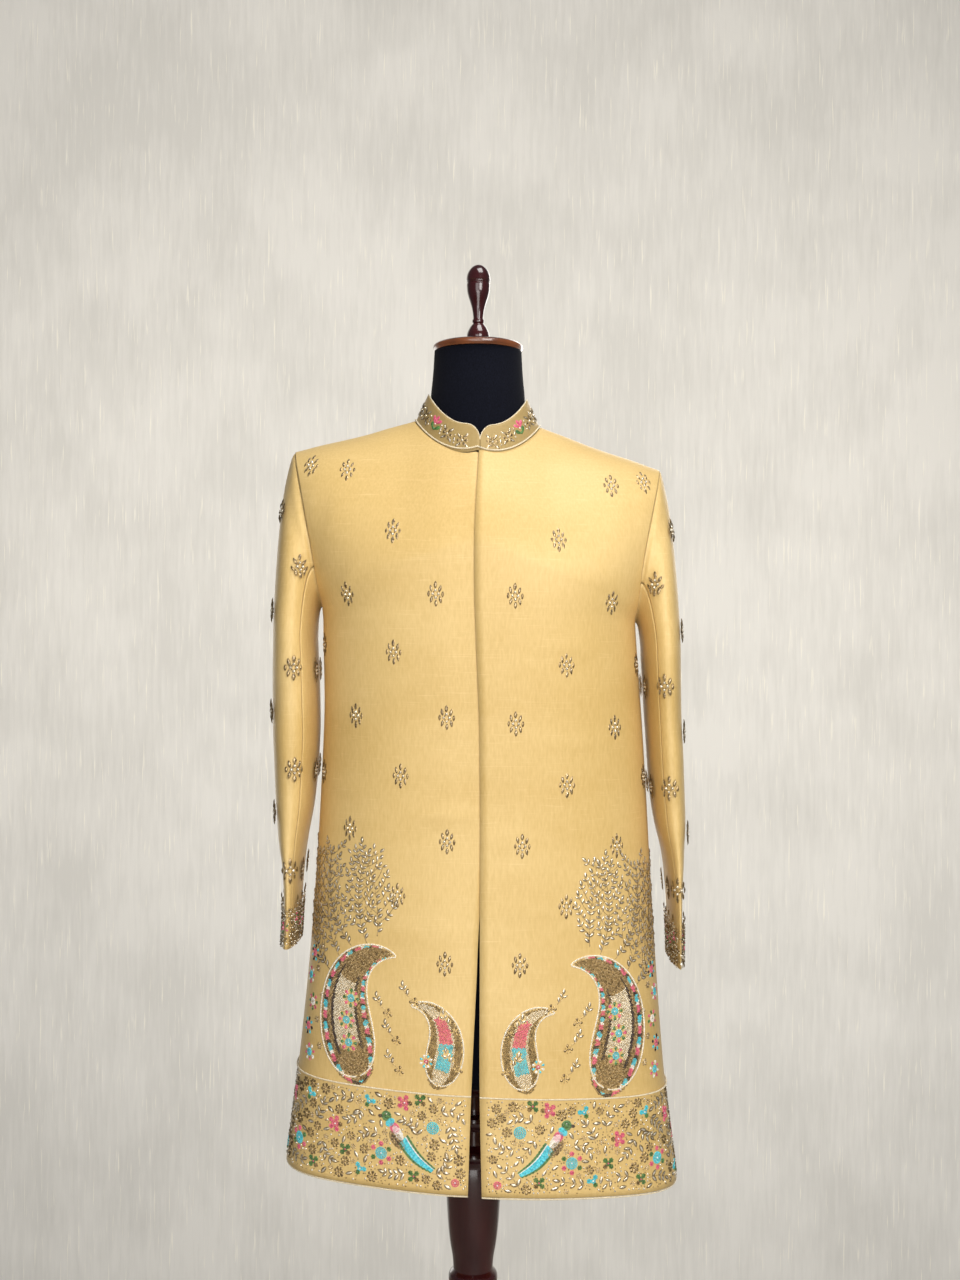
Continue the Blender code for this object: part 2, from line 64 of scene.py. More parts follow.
# The garment and form, as in the part's source
cloth = 0.0020
gap = 0.0003
cordRadius = 0.0013
lean = 0.045
roundness = 2.4
lapStep = 0.0020  # less than in the solids, as the walls here are thinner
lapFade = 0.045
lapEdge = 0.006
front, back = -1, 1
left, right = 1, -1
hem = 0.437
borderTop = 0.560
armpit = 1.163
body = table(
    "height half_width front back sway",
    (0.437, 0.2605, 0.1310, 0.1290, 0.0105),
    (0.570, 0.2435, 0.1290, 0.1270, 0.0102),
    (0.717, 0.2295, 0.1270, 0.1250, 0.0112),
    (0.850, 0.2200, 0.1275, 0.1230, 0.0113),
    (0.950, 0.2145, 0.1290, 0.1210, 0.0108),
    (1.030, 0.2105, 0.1320, 0.1205, 0.0095),
    (1.100, 0.2085, 0.1355, 0.1225, 0.0062),
    (1.163, 0.2075, 0.1380, 0.1255, 0.0030),
    (1.175, 0.2103, 0.1383, 0.1260, 0.0024),
    (1.190, 0.2170, 0.1385, 0.1265, 0.0018),
    (1.232, 0.2335, 0.1385, 0.1275, 0.0005),
    (1.267, 0.2475, 0.1375, 0.1275, 0.0),
    (1.313, 0.2620, 0.1370, 0.1270, 0.0),
    (1.350, 0.2700, 0.1370, 0.1270, 0.0),
    (1.460, 0.2700, 0.1370, 0.1270, 0.0),
)
flutes = 6
fluteDepth = 0.0024
fluteTop = 0.90
shoulderX = 0.243
ridgeLine = table(
    "across height",
    (0.000, 1.4480),
    (0.083, 1.4175),
    (0.118, 1.4060),
    (0.145, 1.3965),
    (0.173, 1.3880),
    (0.207, 1.3785),
    (0.231, 1.3710),
    (0.243, 1.3675),
)
ridgeFall = {front: 0.190, back: 0.140}
neckRound = {front: 1.4, back: 2.0}
shoulderRound = 2.0
armhole = table(
    "height seam",
    (1.163, 0.2075),
    (1.175, 0.2078),
    (1.190, 0.2090),
    (1.232, 0.2137),
    (1.267, 0.2200),
    (1.313, 0.2300),
    (1.350, 0.2390),
    (1.3650, 0.2430),
)
neckSide = 0.083
neckReach = {front: 0.0807, back: 0.0680}
neckPlanPower = {front: 1.25, back: 1.0}
frontEdge = table(
    "height lap under",
    (0.437, 0.0000, -0.0170),
    (0.570, -0.0030, -0.0130),
    (0.700, -0.0045, -0.0085),
    (0.785, -0.0050, -0.0050),
    (0.900, -0.0052, 0.0080),
    (1.000, -0.0055, 0.0120),
    (1.170, -0.0047, 0.0120),
    (1.290, -0.0020, 0.0130),
    (1.400, 0.0030, 0.0140),
)
bicep = 1.120
cuff = 0.722
sleeve = table(
    "height left_outer left_inner right_outer right_inner front back",
    (0.722, 0.2705, 0.2565, 0.2525, 0.2305, 0.086, 0.040),
    (0.760, 0.2713, 0.2555, 0.2505, 0.2290, 0.086, 0.046),
    (0.820, 0.2727, 0.2515, 0.2545, 0.2250, 0.086, 0.056),
    (0.860, 0.2758, 0.2460, 0.2612, 0.2195, 0.086, 0.062),
    (0.900, 0.2780, 0.2360, 0.2646, 0.2125, 0.086, 0.067),
    (0.940, 0.2775, 0.2300, 0.2672, 0.2085, 0.086, 0.072),
    (1.000, 0.2748, 0.2255, 0.2697, 0.2055, 0.087, 0.078),
    (1.060, 0.2725, 0.2215, 0.2710, 0.2070, 0.089, 0.084),
    (1.120, 0.2715, 0.2180, 0.2704, 0.2100, 0.091, 0.087),
)
sleeveRound = 2.3
sleeveSeams = (math.radians(120), math.radians(-100))
seamAngle = 0.006
capOut = {left: 0.14, right: 0.20}
underOut = 0.32
capDown = 1.0
seamStand = 0.9  # less than in the solids, so that the seam closes
seamTop = 0.011
collarRise = 0.035
collarInside = 0.0030
collarLift = 0.0017
collarTop = {"side": 0.0645, front: 0.0665, back: 0.0650}
collarCorner = 0.022
collarEnd = 0.22
collarSplit = 0.0033
collarCrowd = 0.7
pipingAt = 0.03
pipingSlope = 0.25
torso = table(
    "height half_width front back",
    (0.558, 0.150, 0.094, 0.098),
    (0.572, 0.166, 0.106, 0.112),
    (0.660, 0.179, 0.110, 0.120),
    (0.800, 0.172, 0.107, 0.110),
    (0.970, 0.152, 0.100, 0.096),
    (1.100, 0.168, 0.113, 0.106),
    (1.220, 0.188, 0.120, 0.113),
    (1.300, 0.200, 0.122, 0.115),
    (1.350, 0.206, 0.123, 0.115),
    (1.500, 0.206, 0.123, 0.115),
)
torsoEase = 0.0050  # the form stays further under the cloth than in the solids
torsoLean = (1.1, 1.25)
neckUpright = (1.415, 1.455)
planLimit = 0.3
halvings = 24
neckDepth = 0.93
neck = table(
    "height radius",
    (1.380, 0.0630),
    (1.420, 0.0632),
    (1.440, 0.0630),
    (1.458, 0.0622),
    (1.474, 0.0606),
    (1.490, 0.0593),
    (1.514, 0.0580),
)
neckTop = 1.514
neckBlend = 24
skirtRows = (0.437, 0.497, 0.560, 0.640, 0.717, 0.800, 0.880, 0.960, 1.030, 1.100, armpit)
chestRows = 7
neckRows = 5
probe = 0.004


def lerp(start, end, share):
    return start + (end - start) * share


def smooth(share):
    share = np.clip(share, 0.0, 1.0)
    return share * share * (3.0 - 2.0 * share)


def passed(height, span):
    return smooth((height - span[0]) / (span[1] - span[0]))


def vectors(x, y, z):
    return np.stack(np.broadcast_arrays(x, y, z), axis=-1).astype(float)


def unit(v):
    return v / np.maximum(np.linalg.norm(v, axis=-1, keepdims=True), 1e-12)


# A table's column at heights, along one smooth curve through its rows
def along(rows, column, at, key="height"):
    keys = rows[key]
    values = rows[column]
    at = np.clip(at, keys[0], keys[-1])
    low = np.clip(np.searchsorted(keys, at, side="right") - 1, 0, len(keys) - 2)
    before = np.maximum(np.arange(len(keys)) - 1, 0)
    after = np.minimum(np.arange(len(keys)) + 1, len(keys) - 1)
    slope = (values[after] - values[before]) / (keys[after] - keys[before])
    span = keys[low + 1] - keys[low]
    t = (at - keys[low]) / span
    return (
        values[low] * (1 + 2 * t) * (1 - t) ** 2
        + slope[low] * span * t * (1 - t) ** 2
        + values[low + 1] * t * t * (3 - 2 * t)
        + slope[low + 1] * span * t * t * (t - 1)
    )


def ridge(across):
    return along(ridgeLine, "height", np.abs(across), key="across") - cloth


def quarter(share, power):
    share = np.clip(share, 0.0, 1.0)
    return (1.0 - (1.0 - share) ** power) ** (1.0 / power)


def fallPower(face, across):
    share = smooth((np.abs(across) - neckSide) / (shoulderX - neckSide))
    return lerp(neckRound[face], shoulderRound, share)


def sinePart(angle):
    return np.copysign(np.abs(np.sin(angle)) ** (2 / roundness), np.sin(angle))


def cosinePart(angle):
    return np.maximum(np.cos(angle), 0.0) ** (2 / roundness)


def angleAt(across, halfWidth):
    share = np.minimum(np.abs(across) / halfWidth, 1.0)
    return np.copysign(np.arcsin(share ** (roundness / 2)), across)


def bodyWidth(height):
    return along(body, "half_width", height) - cloth


def bodyDepth(face, height):
    return along(body, "front" if face == front else "back", height) - cloth


# Inside of the coat's body: angle from the centre line to the side, and height before the lean
def onBody(face, side, angle, height, inset=0.0):
    flute = fluteDepth * smooth((fluteTop - height) / (fluteTop - hem)) * np.cos(flutes * angle)
    across = (bodyWidth(height) + flute) * sinePart(angle)
    drop = ridge(across) - inset - height
    depth = (bodyDepth(face, height) + flute - inset) * cosinePart(angle)
    depth = depth * quarter(drop / ridgeFall[face], fallPower(face, across))
    x = side * across
    return vectors(x + along(body, "sway", height), face * (gap / 2 + depth), height - lean * x)


def bodyNormal(face, side, angle, height, inset=0.0):
    def at(turned, raised):
        return onBody(face, side, angle + turned, height + raised, inset)

    normal = np.cross(at(probe, 0.0) - at(-probe, 0.0), at(0.0, probe) - at(0.0, -probe))
    return unit(normal * np.expand_dims(-side * face, -1))


def heightOver(face, across, reach, inset=0.0):
    top = ridgeLine["height"][0]
    depth = (bodyDepth(face, top) - inset) * cosinePart(angleAt(across, bodyWidth(top)))
    power = fallPower(face, across)
    share = np.clip((reach - gap / 2) / depth, 0.0, 1.0)
    return ridge(across) - inset - ridgeFall[face] * (1.0 - (1.0 - share**power) ** (1.0 / power))


def neckPlan(face, turn, inside=0.0):
    reach = (neckReach[face] - inside) * np.maximum(np.cos(turn), 0.0) ** neckPlanPower[face]
    return (neckSide - inside) * np.sin(turn), reach


def armHeight(share):
    return lerp(armpit, ridge(shoulderX - cloth), (1 - np.cos(math.pi * share)) / 2)


def lapInset(side, face, across):
    if face == back or side == left:
        return np.zeros_like(across)
    return lapStep * smooth(1 - (across - lapEdge) / lapFade)


def innerEdge(side, face, height):
    if face == back:
        return np.zeros_like(height)
    return side * along(frontEdge, "lap" if side == left else "under", height)


# One half of the front or back: share runs from the centre to the side seam and level counts rows,
# from the hem to the armpit level and then in a fan up to the shoulder seam.
def panelCoords(face, side, share, level):
    skirtTop = len(skirtRows) - 1
    low = np.interp(level, np.arange(skirtTop + 1), skirtRows)
    up = np.maximum(level - skirtTop, 0.0)
    rise = up / (chestRows + neckRows)
    outerHeight = armHeight(rise)
    outer = along(armhole, "seam", outerHeight) - cloth
    corner = innerEdge(side, face, ridgeLine["height"][:1])[0]
    firstTurn = math.asin(corner / neckSide)
    turn = lerp(firstTurn, math.pi / 2, np.maximum(up - chestRows, 0) / neckRows)
    inner, reach = neckPlan(face, turn)
    innerHeight = heightOver(face, inner, reach, lapInset(side, face, inner))
    chest = up < chestRows
    innerHeight = np.where(chest, lerp(armpit, innerHeight, up / chestRows), innerHeight)
    inner = np.where(chest, innerEdge(side, face, innerHeight), inner)
    start = angleAt(inner, bodyWidth(innerHeight))
    end = angleAt(outer, bodyWidth(outerHeight))
    angle = lerp(start, end, share)
    height = lerp(innerHeight, outerHeight, share)
    across = bodyWidth(height) * sinePart(angle)
    height = height + rise * (ridge(across) - lerp(ridge(inner), ridge(outer), share))
    lowStart = angleAt(innerEdge(side, face, low), bodyWidth(low))
    skirt = level <= skirtTop
    angle = np.where(skirt, lerp(lowStart, math.pi / 2, share), angle)
    return angle, np.where(skirt, low, height)


def insetAt(face, side, angle, height):
    return lapInset(side, face, bodyWidth(height) * sinePart(angle))


def armholeStart(side, around):
    around = (around + math.pi) % (2 * math.pi) - math.pi
    height = armHeight(1 - np.abs(around) / math.pi)
    angle = angleAt(along(armhole, "seam", height) - cloth, bodyWidth(height))
    slopeHeight = np.minimum(height, ridge(shoulderX) - seamTop)
    points = []
    for face in (front, back):
        leanOut = np.abs(bodyNormal(face, side, angle, slopeHeight)[..., 0])
        step = gap + cloth * seamStand * leanOut
        points.append(onBody(face, side, angle, height) + vectors(side * step, 0, 0))
    return np.where((around >= 0)[..., None], points[0], points[1])


# Level ring of a sleeve; around is 0 at its outer edge and grows towards the front
def sleeveRing(side, around, height):
    name = "left" if side == left else "right"
    outer = along(sleeve, name + "_outer", height)
    inner = along(sleeve, name + "_inner", height)
    fore = along(sleeve, "front", height)
    aft = along(sleeve, "back", height)
    wide = np.copysign(np.abs(np.cos(around)) ** (2 / sleeveRound), np.cos(around))
    deep = np.copysign(np.abs(np.sin(around)) ** (2 / sleeveRound), np.sin(around))
    x = side * ((outer + inner) / 2 + ((outer - inner) / 2 - cloth) * wide)
    y = (aft - fore) / 2 - ((aft + fore) / 2 - cloth) * deep
    return vectors(x, y, height - lean * x)


# Inside of a sleeve: down is 0 at the armhole seam, 1 at the bicep and 2 at the cuff
def onSleeve(side, around, down):
    around, down = np.broadcast_arrays(np.asarray(around, float), np.asarray(down, float))
    t = np.clip(down, 0, 1)[..., None]
    start = armholeStart(side, around)
    end = sleeveRing(side, around, bicep)
    run = np.linalg.norm(end - start, axis=-1)
    share = lerp(underOut, capOut[side], (1 + np.cos(around)) / 2)
    out = vectors(side * run * share, 0, 0)
    fall = vectors(0, 0, -run * capDown)
    cap = start * ((1 + 2 * t) * (1 - t) ** 2)
    cap = cap + out * (t * (1 - t) ** 2) + end * (t * t * (3 - 2 * t)) + fall * (t * t * (t - 1))
    arm = sleeveRing(side, around, lerp(bicep, cuff, np.clip(down - 1, 0, 1)))
    return np.where((down <= 1)[..., None], cap, arm)


# Inside of the collar band: turn runs from the front over the left side to the back
def onCollar(turn, share):
    turn, share = np.broadcast_arrays(np.asarray(turn, float), np.asarray(share, float))
    planTurn = np.arccos(np.clip(np.abs(np.cos(turn)), 0, 1))
    side = np.copysign(1.0, np.sin(turn))
    points = []
    for face in (front, back):
        seamX, seamReach = neckPlan(face, planTurn)
        lowX, lowReach = neckPlan(face, planTurn, collarInside)
        height = heightOver(face, seamX, seamReach) + collarLift
        low = vectors(side * lowX, face * lowReach, height)
        topX = collarTop["side"] * np.sin(planTurn)
        topReach = collarTop[face] * np.cos(planTurn)
        high = vectors(side * topX, face * topReach, height + collarRise)
        points.append(lerp(low, high, share[..., None]))
    point = np.where((np.cos(turn) > 0)[..., None], points[0], points[1])
    point[..., 2] -= lean * point[..., 0]
    return point


def collarTurn(share):
    start = math.asin(collarSplit / neckSide) + gap / neckSide
    spread = collarCrowd * np.sin(2 * math.pi * share) / (2 * math.pi)
    return start + (share - spread) * (2 * math.pi - 2 * gap / neckSide)


def collarHeight(turn):
    start = math.asin(collarSplit / neckSide)
    fromEnd = neckReach[front] * np.minimum(turn - start, start + 2 * math.pi - turn)
    return lerp(collarEnd, 1.0, quarter(fromEnd / collarCorner, 2.0))


# A material under way: nodes join its tree and feed its shader
class Surface:
    def __init__(self, name):
        self.material = bpy.data.materials.new(name)
        self.material.use_nodes = True
        self.nodes = self.material.node_tree.nodes
        self.link = self.material.node_tree.links.new
        self.shader = self.nodes["Principled BSDF"]

    def settings(self, sockets):
        for name, value in sockets.items():
            self.shader.inputs[name].default_value = (*value, 1.0) if isinstance(value, tuple) else value

    # Noise in the object's own space, with a scale for each axis
    def noise(self, scale, detail=2.0):
        coords = self.nodes.new("ShaderNodeTexCoord")
        mapping = self.nodes.new("ShaderNodeMapping")
        noise = self.nodes.new("ShaderNodeTexNoise")
        mapping.inputs["Scale"].default_value = scale
        noise.inputs["Scale"].default_value = 1.0
        noise.inputs["Detail"].default_value = detail
        self.link(coords.outputs["Object"], mapping.inputs["Vector"])
        self.link(mapping.outputs["Vector"], noise.inputs["Vector"])
        return noise.outputs["Fac"]

    # A ramp between two colours, each at its place
    def ramp(self, factor, places, colors):
        ramp = self.nodes.new("ShaderNodeValToRGB")
        for element, place, color in zip(ramp.color_ramp.elements, places, colors):
            element.position = place
            element.color = (*color, 1.0)
        self.link(factor, ramp.inputs["Fac"])
        return ramp.outputs["Color"]

    def mix(self, factor, first, second):
        mix = self.nodes.new("ShaderNodeMix")
        mix.data_type = "RGBA"
        for socket, value in zip((mix.inputs[0], mix.inputs[6], mix.inputs[7]), (factor, first, second)):
            if isinstance(value, float):
                socket.default_value = value
            elif isinstance(value, tuple):
                socket.default_value = (*value, 1.0)
            else:
                self.link(value, socket)
        return mix.outputs[2]

    def bump(self, height, strength, distance, under=None):
        bump = self.nodes.new("ShaderNodeBump")
        bump.inputs["Strength"].default_value = strength
        bump.inputs["Distance"].default_value = distance
        self.link(height, bump.inputs["Height"])
        if under is not None:
            self.link(under, bump.inputs["Normal"])
        self.link(bump.outputs["Normal"], self.shader.inputs["Normal"])
        return bump.outputs["Normal"]

    def paint(self, color):
        self.link(color, self.shader.inputs["Base Color"])


def grey(value):
    return (value, value, value)


# The plainer materials: one grain between two tones, with its bump's strength and depth
def grainMaterial(name, look):
    surface = Surface(name)
    grain = surface.noise(look["grain"], look["detail"])
    surface.paint(surface.ramp(grain, look["places"], (look["dark"], look["light"])))
    surface.settings(look["sockets"])
    if "bump" in look:
        surface.bump(grain, *look["bump"])
    return surface.material


silkLook = {
    "light": (0.735, 0.53, 0.225),
    "dark": (0.60, 0.405, 0.14),
    "slub": (0.90, 0.69, 0.36),
    "collar": 0.56,  # the collar's silk is darker by this share: partly painted shade, partly the band's denser thread ground
    "patches": (3.0, 3.0, 7.0),
    "cross": (420.0, 420.0, 90.0),
    "slubs": (26.0, 26.0, 900.0),
    "threads": (1400.0, 1400.0, 300.0),
    "weave": 0.00020,
    "sockets": {
        "Roughness": 0.46,
        "Sheen Weight": 0.10,
        "Sheen Roughness": 0.35,
        "Sheen Tint": (1.0, 0.86, 0.60),
        "Specular IOR Level": 0.55,
        "Specular Tint": (1.0, 0.90, 0.70),
    },
}


# A depth below 1 scales every tone down, for a darker copy of the silk: on the collar this is partly painted
# shade
def silkMaterial(name, depth=1.0):
    surface = Surface(name)
    tones = (silkLook["dark"], silkLook["light"], silkLook["slub"])
    dark, light, slub = (tuple(value * depth for value in tone) for tone in tones)
    slubs = surface.noise(silkLook["slubs"], 3.0)
    threads = surface.noise(silkLook["threads"], 1.0)
    tone = surface.mix(0.35, surface.noise(silkLook["patches"], 3.0), surface.noise(silkLook["cross"]))
    base = surface.ramp(tone, (0.34, 0.66), (dark, light))
    streak = surface.ramp(slubs, (0.60, 0.78), (grey(0.0), grey(0.32)))
    surface.paint(surface.mix(streak, base, slub))
    surface.settings(silkLook["sockets"])
    first = surface.bump(slubs, 0.5, silkLook["weave"])
    surface.bump(threads, 0.35, silkLook["weave"], first)
    return surface.material


cordLook = {
    "light": (0.86, 0.77, 0.56),
    "dark": (0.50, 0.38, 0.20),
    "grain": (900.0, 900.0, 900.0),
    "detail": 2.0,
    "places": (0.25, 0.6),
    "sockets": {"Roughness": 0.42, "Sheen Weight": 0.3},
    "bump": (0.4, 0.0002),
}
jerseyLook = {
    "light": (0.0050, 0.0060, 0.0120),
    "dark": (0.0018, 0.0022, 0.0050),
    "grain": (1100.0, 1100.0, 420.0),
    "detail": 2.0,
    "places": (0.3, 0.7),
    "sockets": {"Roughness": 0.92, "Sheen Weight": 0.02, "Specular IOR Level": 0.1},
    "bump": (0.5, 0.0002),
}
# What the woods share, and each one's light and dark tone and roughness
woodLook = {
    "grain": (22.0, 22.0, 4.0),
    "detail": 3.0,
    "places": (0.30, 0.78),
    "sockets": {"Coat Weight": 0.45, "Coat Roughness": 0.08},
    "bump": (0.06, 0.0005),
}
woodTones = {
    "dark_wood": ((0.070, 0.008, 0.008), (0.020, 0.003, 0.004), 0.20),
    "rim_wood": ((0.26, 0.080, 0.024), (0.09, 0.026, 0.010), 0.24),
}


# What beads and threads share, and each one's light and dark tone, roughness and metallic value
stitchLook = {
    "grain": (420.0, 420.0, 420.0),
    "detail": 1.0,
    "places": (0.32, 0.62),
    "sockets": {"Coat Weight": 0.3, "Coat Roughness": 0.15},
}
stitchTones = {
    "bronze": ((0.42, 0.295, 0.135), (0.10, 0.062, 0.028), 0.38, 0.75),
    "gold": ((0.60, 0.44, 0.23), (0.23, 0.155, 0.075), 0.33, 0.7),
    "silver": ((0.88, 0.80, 0.64), (0.50, 0.42, 0.29), 0.26, 0.55),
    "pearl": ((0.93, 0.88, 0.76), (0.72, 0.62, 0.45), 0.28, 0.1),
    "turquoise": ((0.10, 0.66, 0.74), (0.03, 0.36, 0.46), 0.35, 0.0),
    "pink": ((0.80, 0.16, 0.25), (0.48, 0.06, 0.13), 0.42, 0.0),
    "green": ((0.10, 0.24, 0.06), (0.03, 0.09, 0.025), 0.45, 0.0),
    "white": ((0.90, 0.87, 0.80), (0.70, 0.65, 0.56), 0.45, 0.0),
    "black": ((0.035, 0.018, 0.024), (0.010, 0.006, 0.010), 0.40, 0.0),
}
stitchNames = list(stitchTones)


def tonedMaterial(name, look, light, dark, roughness, metallic=0.0):
    sockets = {"Roughness": roughness, "Metallic": metallic} | look["sockets"]
    return grainMaterial(name, look | {"light": light, "dark": dark, "sockets": sockets})


wallLook = {
    "light": (0.76, 0.735, 0.68),
    "dark": (0.665, 0.643, 0.592),
    "stroke": (0.92, 0.88, 0.76),
    "patches": (3.6, 3.6, 3.0),
    "drags": (84.0, 84.0, 8.0),
    "strokes": (150.0, 150.0, 7.5),
    "sockets": {"Roughness": 0.95, "Specular IOR Level": 0.15},
}


def wallMaterial():
    surface = Surface("limewashed wall")
    drags = surface.noise(wallLook["drags"], 7.0)
    tone = surface.mix(0.36, surface.noise(wallLook["patches"], 10.0), drags)
    base = surface.ramp(tone, (0.38, 0.60), (wallLook["dark"], wallLook["light"]))
    strokes = surface.ramp(surface.noise(wallLook["strokes"], 4.0), (0.60, 0.70), (grey(0.0), grey(0.65)))
    surface.paint(surface.mix(strokes, base, wallLook["stroke"]))
    surface.settings(wallLook["sockets"])
    surface.bump(drags, 0.25, 0.002)
    return surface.material


floorLook = {
    "light": (0.32, 0.29, 0.25),
    "dark": (0.24, 0.215, 0.18),
    "grain": (5.0, 5.0, 5.0),
    "detail": 6.0,
    "places": (0.35, 0.65),
    "sockets": {"Roughness": 0.6},
}

silk = silkMaterial("mustard silk")
# The collar's darker silk: partly painted shade, partly the band's denser thread ground
shadedCollarSilk = silkMaterial("shaded collar silk", silkLook["collar"])
cordCloth = grainMaterial("cream cord", cordLook)
jersey = grainMaterial("black jersey", jerseyLook)
woods = {name: tonedMaterial(name.replace("_", " "), woodLook, *tones) for name, tones in woodTones.items()}
stitches = {name: tonedMaterial(name + " beads", stitchLook, *tones) for name, tones in stitchTones.items()}
print("scene: materials")


# Meshes from arrays
def meshObject(name, verts, faces, materials, kinds=None, smoothed=True):
    mesh = bpy.data.meshes.new(name)
    sizes = np.full(len(faces), faces.shape[1]) if isinstance(faces, np.ndarray) else [len(f) for f in faces]
    flat = faces.ravel() if isinstance(faces, np.ndarray) else np.concatenate([np.array(f) for f in faces])
    mesh.vertices.add(len(verts))
    mesh.vertices.foreach_set("co", np.ascontiguousarray(verts, np.float32).ravel())
    mesh.loops.add(len(flat))
    mesh.loops.foreach_set("vertex_index", np.ascontiguousarray(flat, np.int32))
    mesh.polygons.add(len(sizes))
    starts = np.concatenate([[0], np.cumsum(sizes)[:-1]])
    mesh.polygons.foreach_set("loop_start", starts.astype(np.int32))
    mesh.polygons.foreach_set("loop_total", np.asarray(sizes, np.int32))
    mesh.polygons.foreach_set("use_smooth", np.full(len(sizes), smoothed))
    for material in materials:
        mesh.materials.append(material)
    if kinds is not None:
        mesh.polygons.foreach_set("material_index", np.asarray(kinds, np.int32))
    mesh.update(calc_edges=True)
    mesh.validate()
    made = bpy.data.objects.new(name, mesh)
    bpy.context.scene.collection.objects.link(made)
    return made


def place(piece, slotName, nodes=()):
    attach(piece, "root")
    if nodes:
        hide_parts(*nodes)
    return piece


# Faces of a grid whose points run column by column; flip turns them over
def gridFaces(columns, rows, first=0, flip=False, closed=False):
    across = columns if closed else columns - 1
    column, row = np.meshgrid(np.arange(across), np.arange(rows - 1), indexing="ij")
    beside = (column + 1) % columns
    a = column * rows + row
    b = beside * rows + row
    faces = np.stack([a, b, b + 1, a + 1], axis=-1).reshape(-1, 4) + first
    return faces[:, ::-1] if flip else faces


def gridNormals(points):
    across = np.gradient(points, axis=0)
    up = np.gradient(points, axis=1)
    return unit(np.cross(across, up))


# Soft creases and dents on the coat's body: middle and half length across, half width up and down,
# tilt in degrees and depth, positive where the cloth stands out, all seen from the front
creases = (
    (-0.049, 1.006, 0.040, 0.0016, 1, -0.0010),
    (-0.050, 1.011, 0.044, 0.0050, 1, 0.0012),
    (-0.155, 0.931, 0.026, 0.0014, -4, -0.0010),
    (-0.155, 0.937, 0.030, 0.0045, -4, 0.0010),
    (-0.032, 0.897, 0.028, 0.0030, 4, -0.0020),
    (-0.035, 0.908, 0.036, 0.0075, 4, 0.0022),
    (0.026, 0.878, 0.030, 0.0020, -3, -0.0010),
    (0.028, 0.884, 0.034, 0.0060, -3, 0.0012),
    (0.120, 1.120, 0.050, 0.0070, -6, 0.0009),
    (-0.120, 1.155, 0.055, 0.0070, 5, 0.0009),
    (-0.130, 1.065, 0.045, 0.0050, 3, 0.0007),
    (0.110, 1.000, 0.050, 0.0060, -3, 0.0007),
    (0.060, 0.790, 0.045, 0.0060, -4, 0.0009),
    (-0.070, 0.760, 0.050, 0.0070, 4, 0.0009),
    (0.030, 0.690, 0.026, 0.0035, 10, 0.0009),
    (-0.040, 0.668, 0.026, 0.0040, -12, 0.0009),
    (0.035, 0.640, 0.022, 0.0030, -8, 0.0008),
    (-0.035, 0.620, 0.022, 0.0030, 8, 0.0008),
    (0.165, 1.205, 0.030, 0.0080, -52, 0.0014),
    (0.180, 1.170, 0.030, 0.0080, -40, -0.0010),
    (-0.165, 1.205, 0.030, 0.0080, 52, 0.0014),
    (-0.180, 1.170, 0.030, 0.0080, 40, -0.0010),
    (0.200, 1.290, 0.012, 0.0300, 10, -0.0012),
    (-0.200, 1.290, 0.012, 0.0300, -10, -0.0012),
)
backCreases = (
    (0.000, 1.300, 0.110, 0.0100, 0, 0.0012),
    (0.060, 1.010, 0.060, 0.0080, -4, 0.0010),
    (-0.060, 1.040, 0.060, 0.0080, 4, 0.0010),
    (0.170, 1.190, 0.030, 0.0080, -50, 0.0014),
    (-0.170, 1.190, 0.030, 0.0080, 50, 0.0014),
)


def relief(face, points):
    lift = np.zeros(points.shape[:-1])
    for x, z, length, width, tilt, depth in creases if face == front else backCreases:
        turned = math.radians(tilt)
        dx = points[..., 0] - x
        dz = points[..., 2] - z
        run = (dx * math.cos(turned) + dz * math.sin(turned)) / length
        off = (dz * math.cos(turned) - dx * math.sin(turned)) / width
        lift = lift + depth * np.exp(-(run**2) - off**2)
    return lift


# Cloth between two sets of points, closed along its edges
visualWall = 0.0012


def clothPiece(node, inside, flip, lift):
    columns, rows = inside.shape[:2]
    normals = gridNormals(inside) * (-1.0 if flip else 1.0)
    outer = inside + normals * (cloth + lift)[..., None]
    inner = inside + normals * (cloth + lift - visualWall)[..., None]
    verts = np.concatenate([outer.reshape(-1, 3), inner.reshape(-1, 3)])
    count = columns * rows
    faces = [gridFaces(columns, rows, 0, flip), gridFaces(columns, rows, count, not flip)]
    index = np.arange(count).reshape(columns, rows)
    rim = np.concatenate([index[:, 0], index[-1, 1:], index[-2::-1, -1], index[0, -2:0:-1]])
    beyond = np.roll(rim, -1)
    edge = np.stack([rim, rim + count, beyond + count, beyond], axis=-1)
    faces.append(edge[:, ::-1] if flip else edge)
    piece = meshObject("cloth_" + node, verts, np.concatenate(faces), [silk])
    return place(piece, "silk", [node])


# Points across half a panel and up it, then round each part of a sleeve and down it, and the collar's
panelGridSize = (62, 180)
sleeveColumns = {"upper": 76, "under": 42}
sleeveRows = (62, 74)
collarGridSize = (180, 16)
topLevel = len(skirtRows) - 1 + chestRows + neckRows


def panelGrid(face, side):
    columns, rows = panelGridSize
    share, level = np.meshgrid(np.linspace(0, 1, columns), np.linspace(0, topLevel, rows), indexing="ij")
    angle, height = panelCoords(face, side, share, level)
    return onBody(face, side, angle, height, insetAt(face, side, angle, height))


def makeFronts():
    for name, side in (("front_left", left), ("front_right", right)):
        inside = panelGrid(front, side)
        piece = clothPiece(name, inside, side == right, relief(front, inside))


def makeBack():
    inside = np.concatenate([panelGrid(back, right)[::-1], panelGrid(back, left)[1:]])
    piece = clothPiece("back", inside, True, relief(back, inside))


# Soft dents of the sleeves: around in degrees, down, half lengths in both, and depth
sleeveDents = (
    (60, 0.30, 30, 0.10, 0.0012),
    (100, 0.16, 26, 0.06, -0.0010),
    (20, 0.20, 22, 0.10, 0.0010),
    (70, 0.75, 34, 0.10, 0.0010),
    (80, 1.20, 36, 0.06, 0.0012),
    (60, 1.32, 36, 0.05, -0.0009),
    (95, 1.48, 34, 0.05, 0.0010),
    (50, 1.62, 30, 0.05, 0.0008),
)
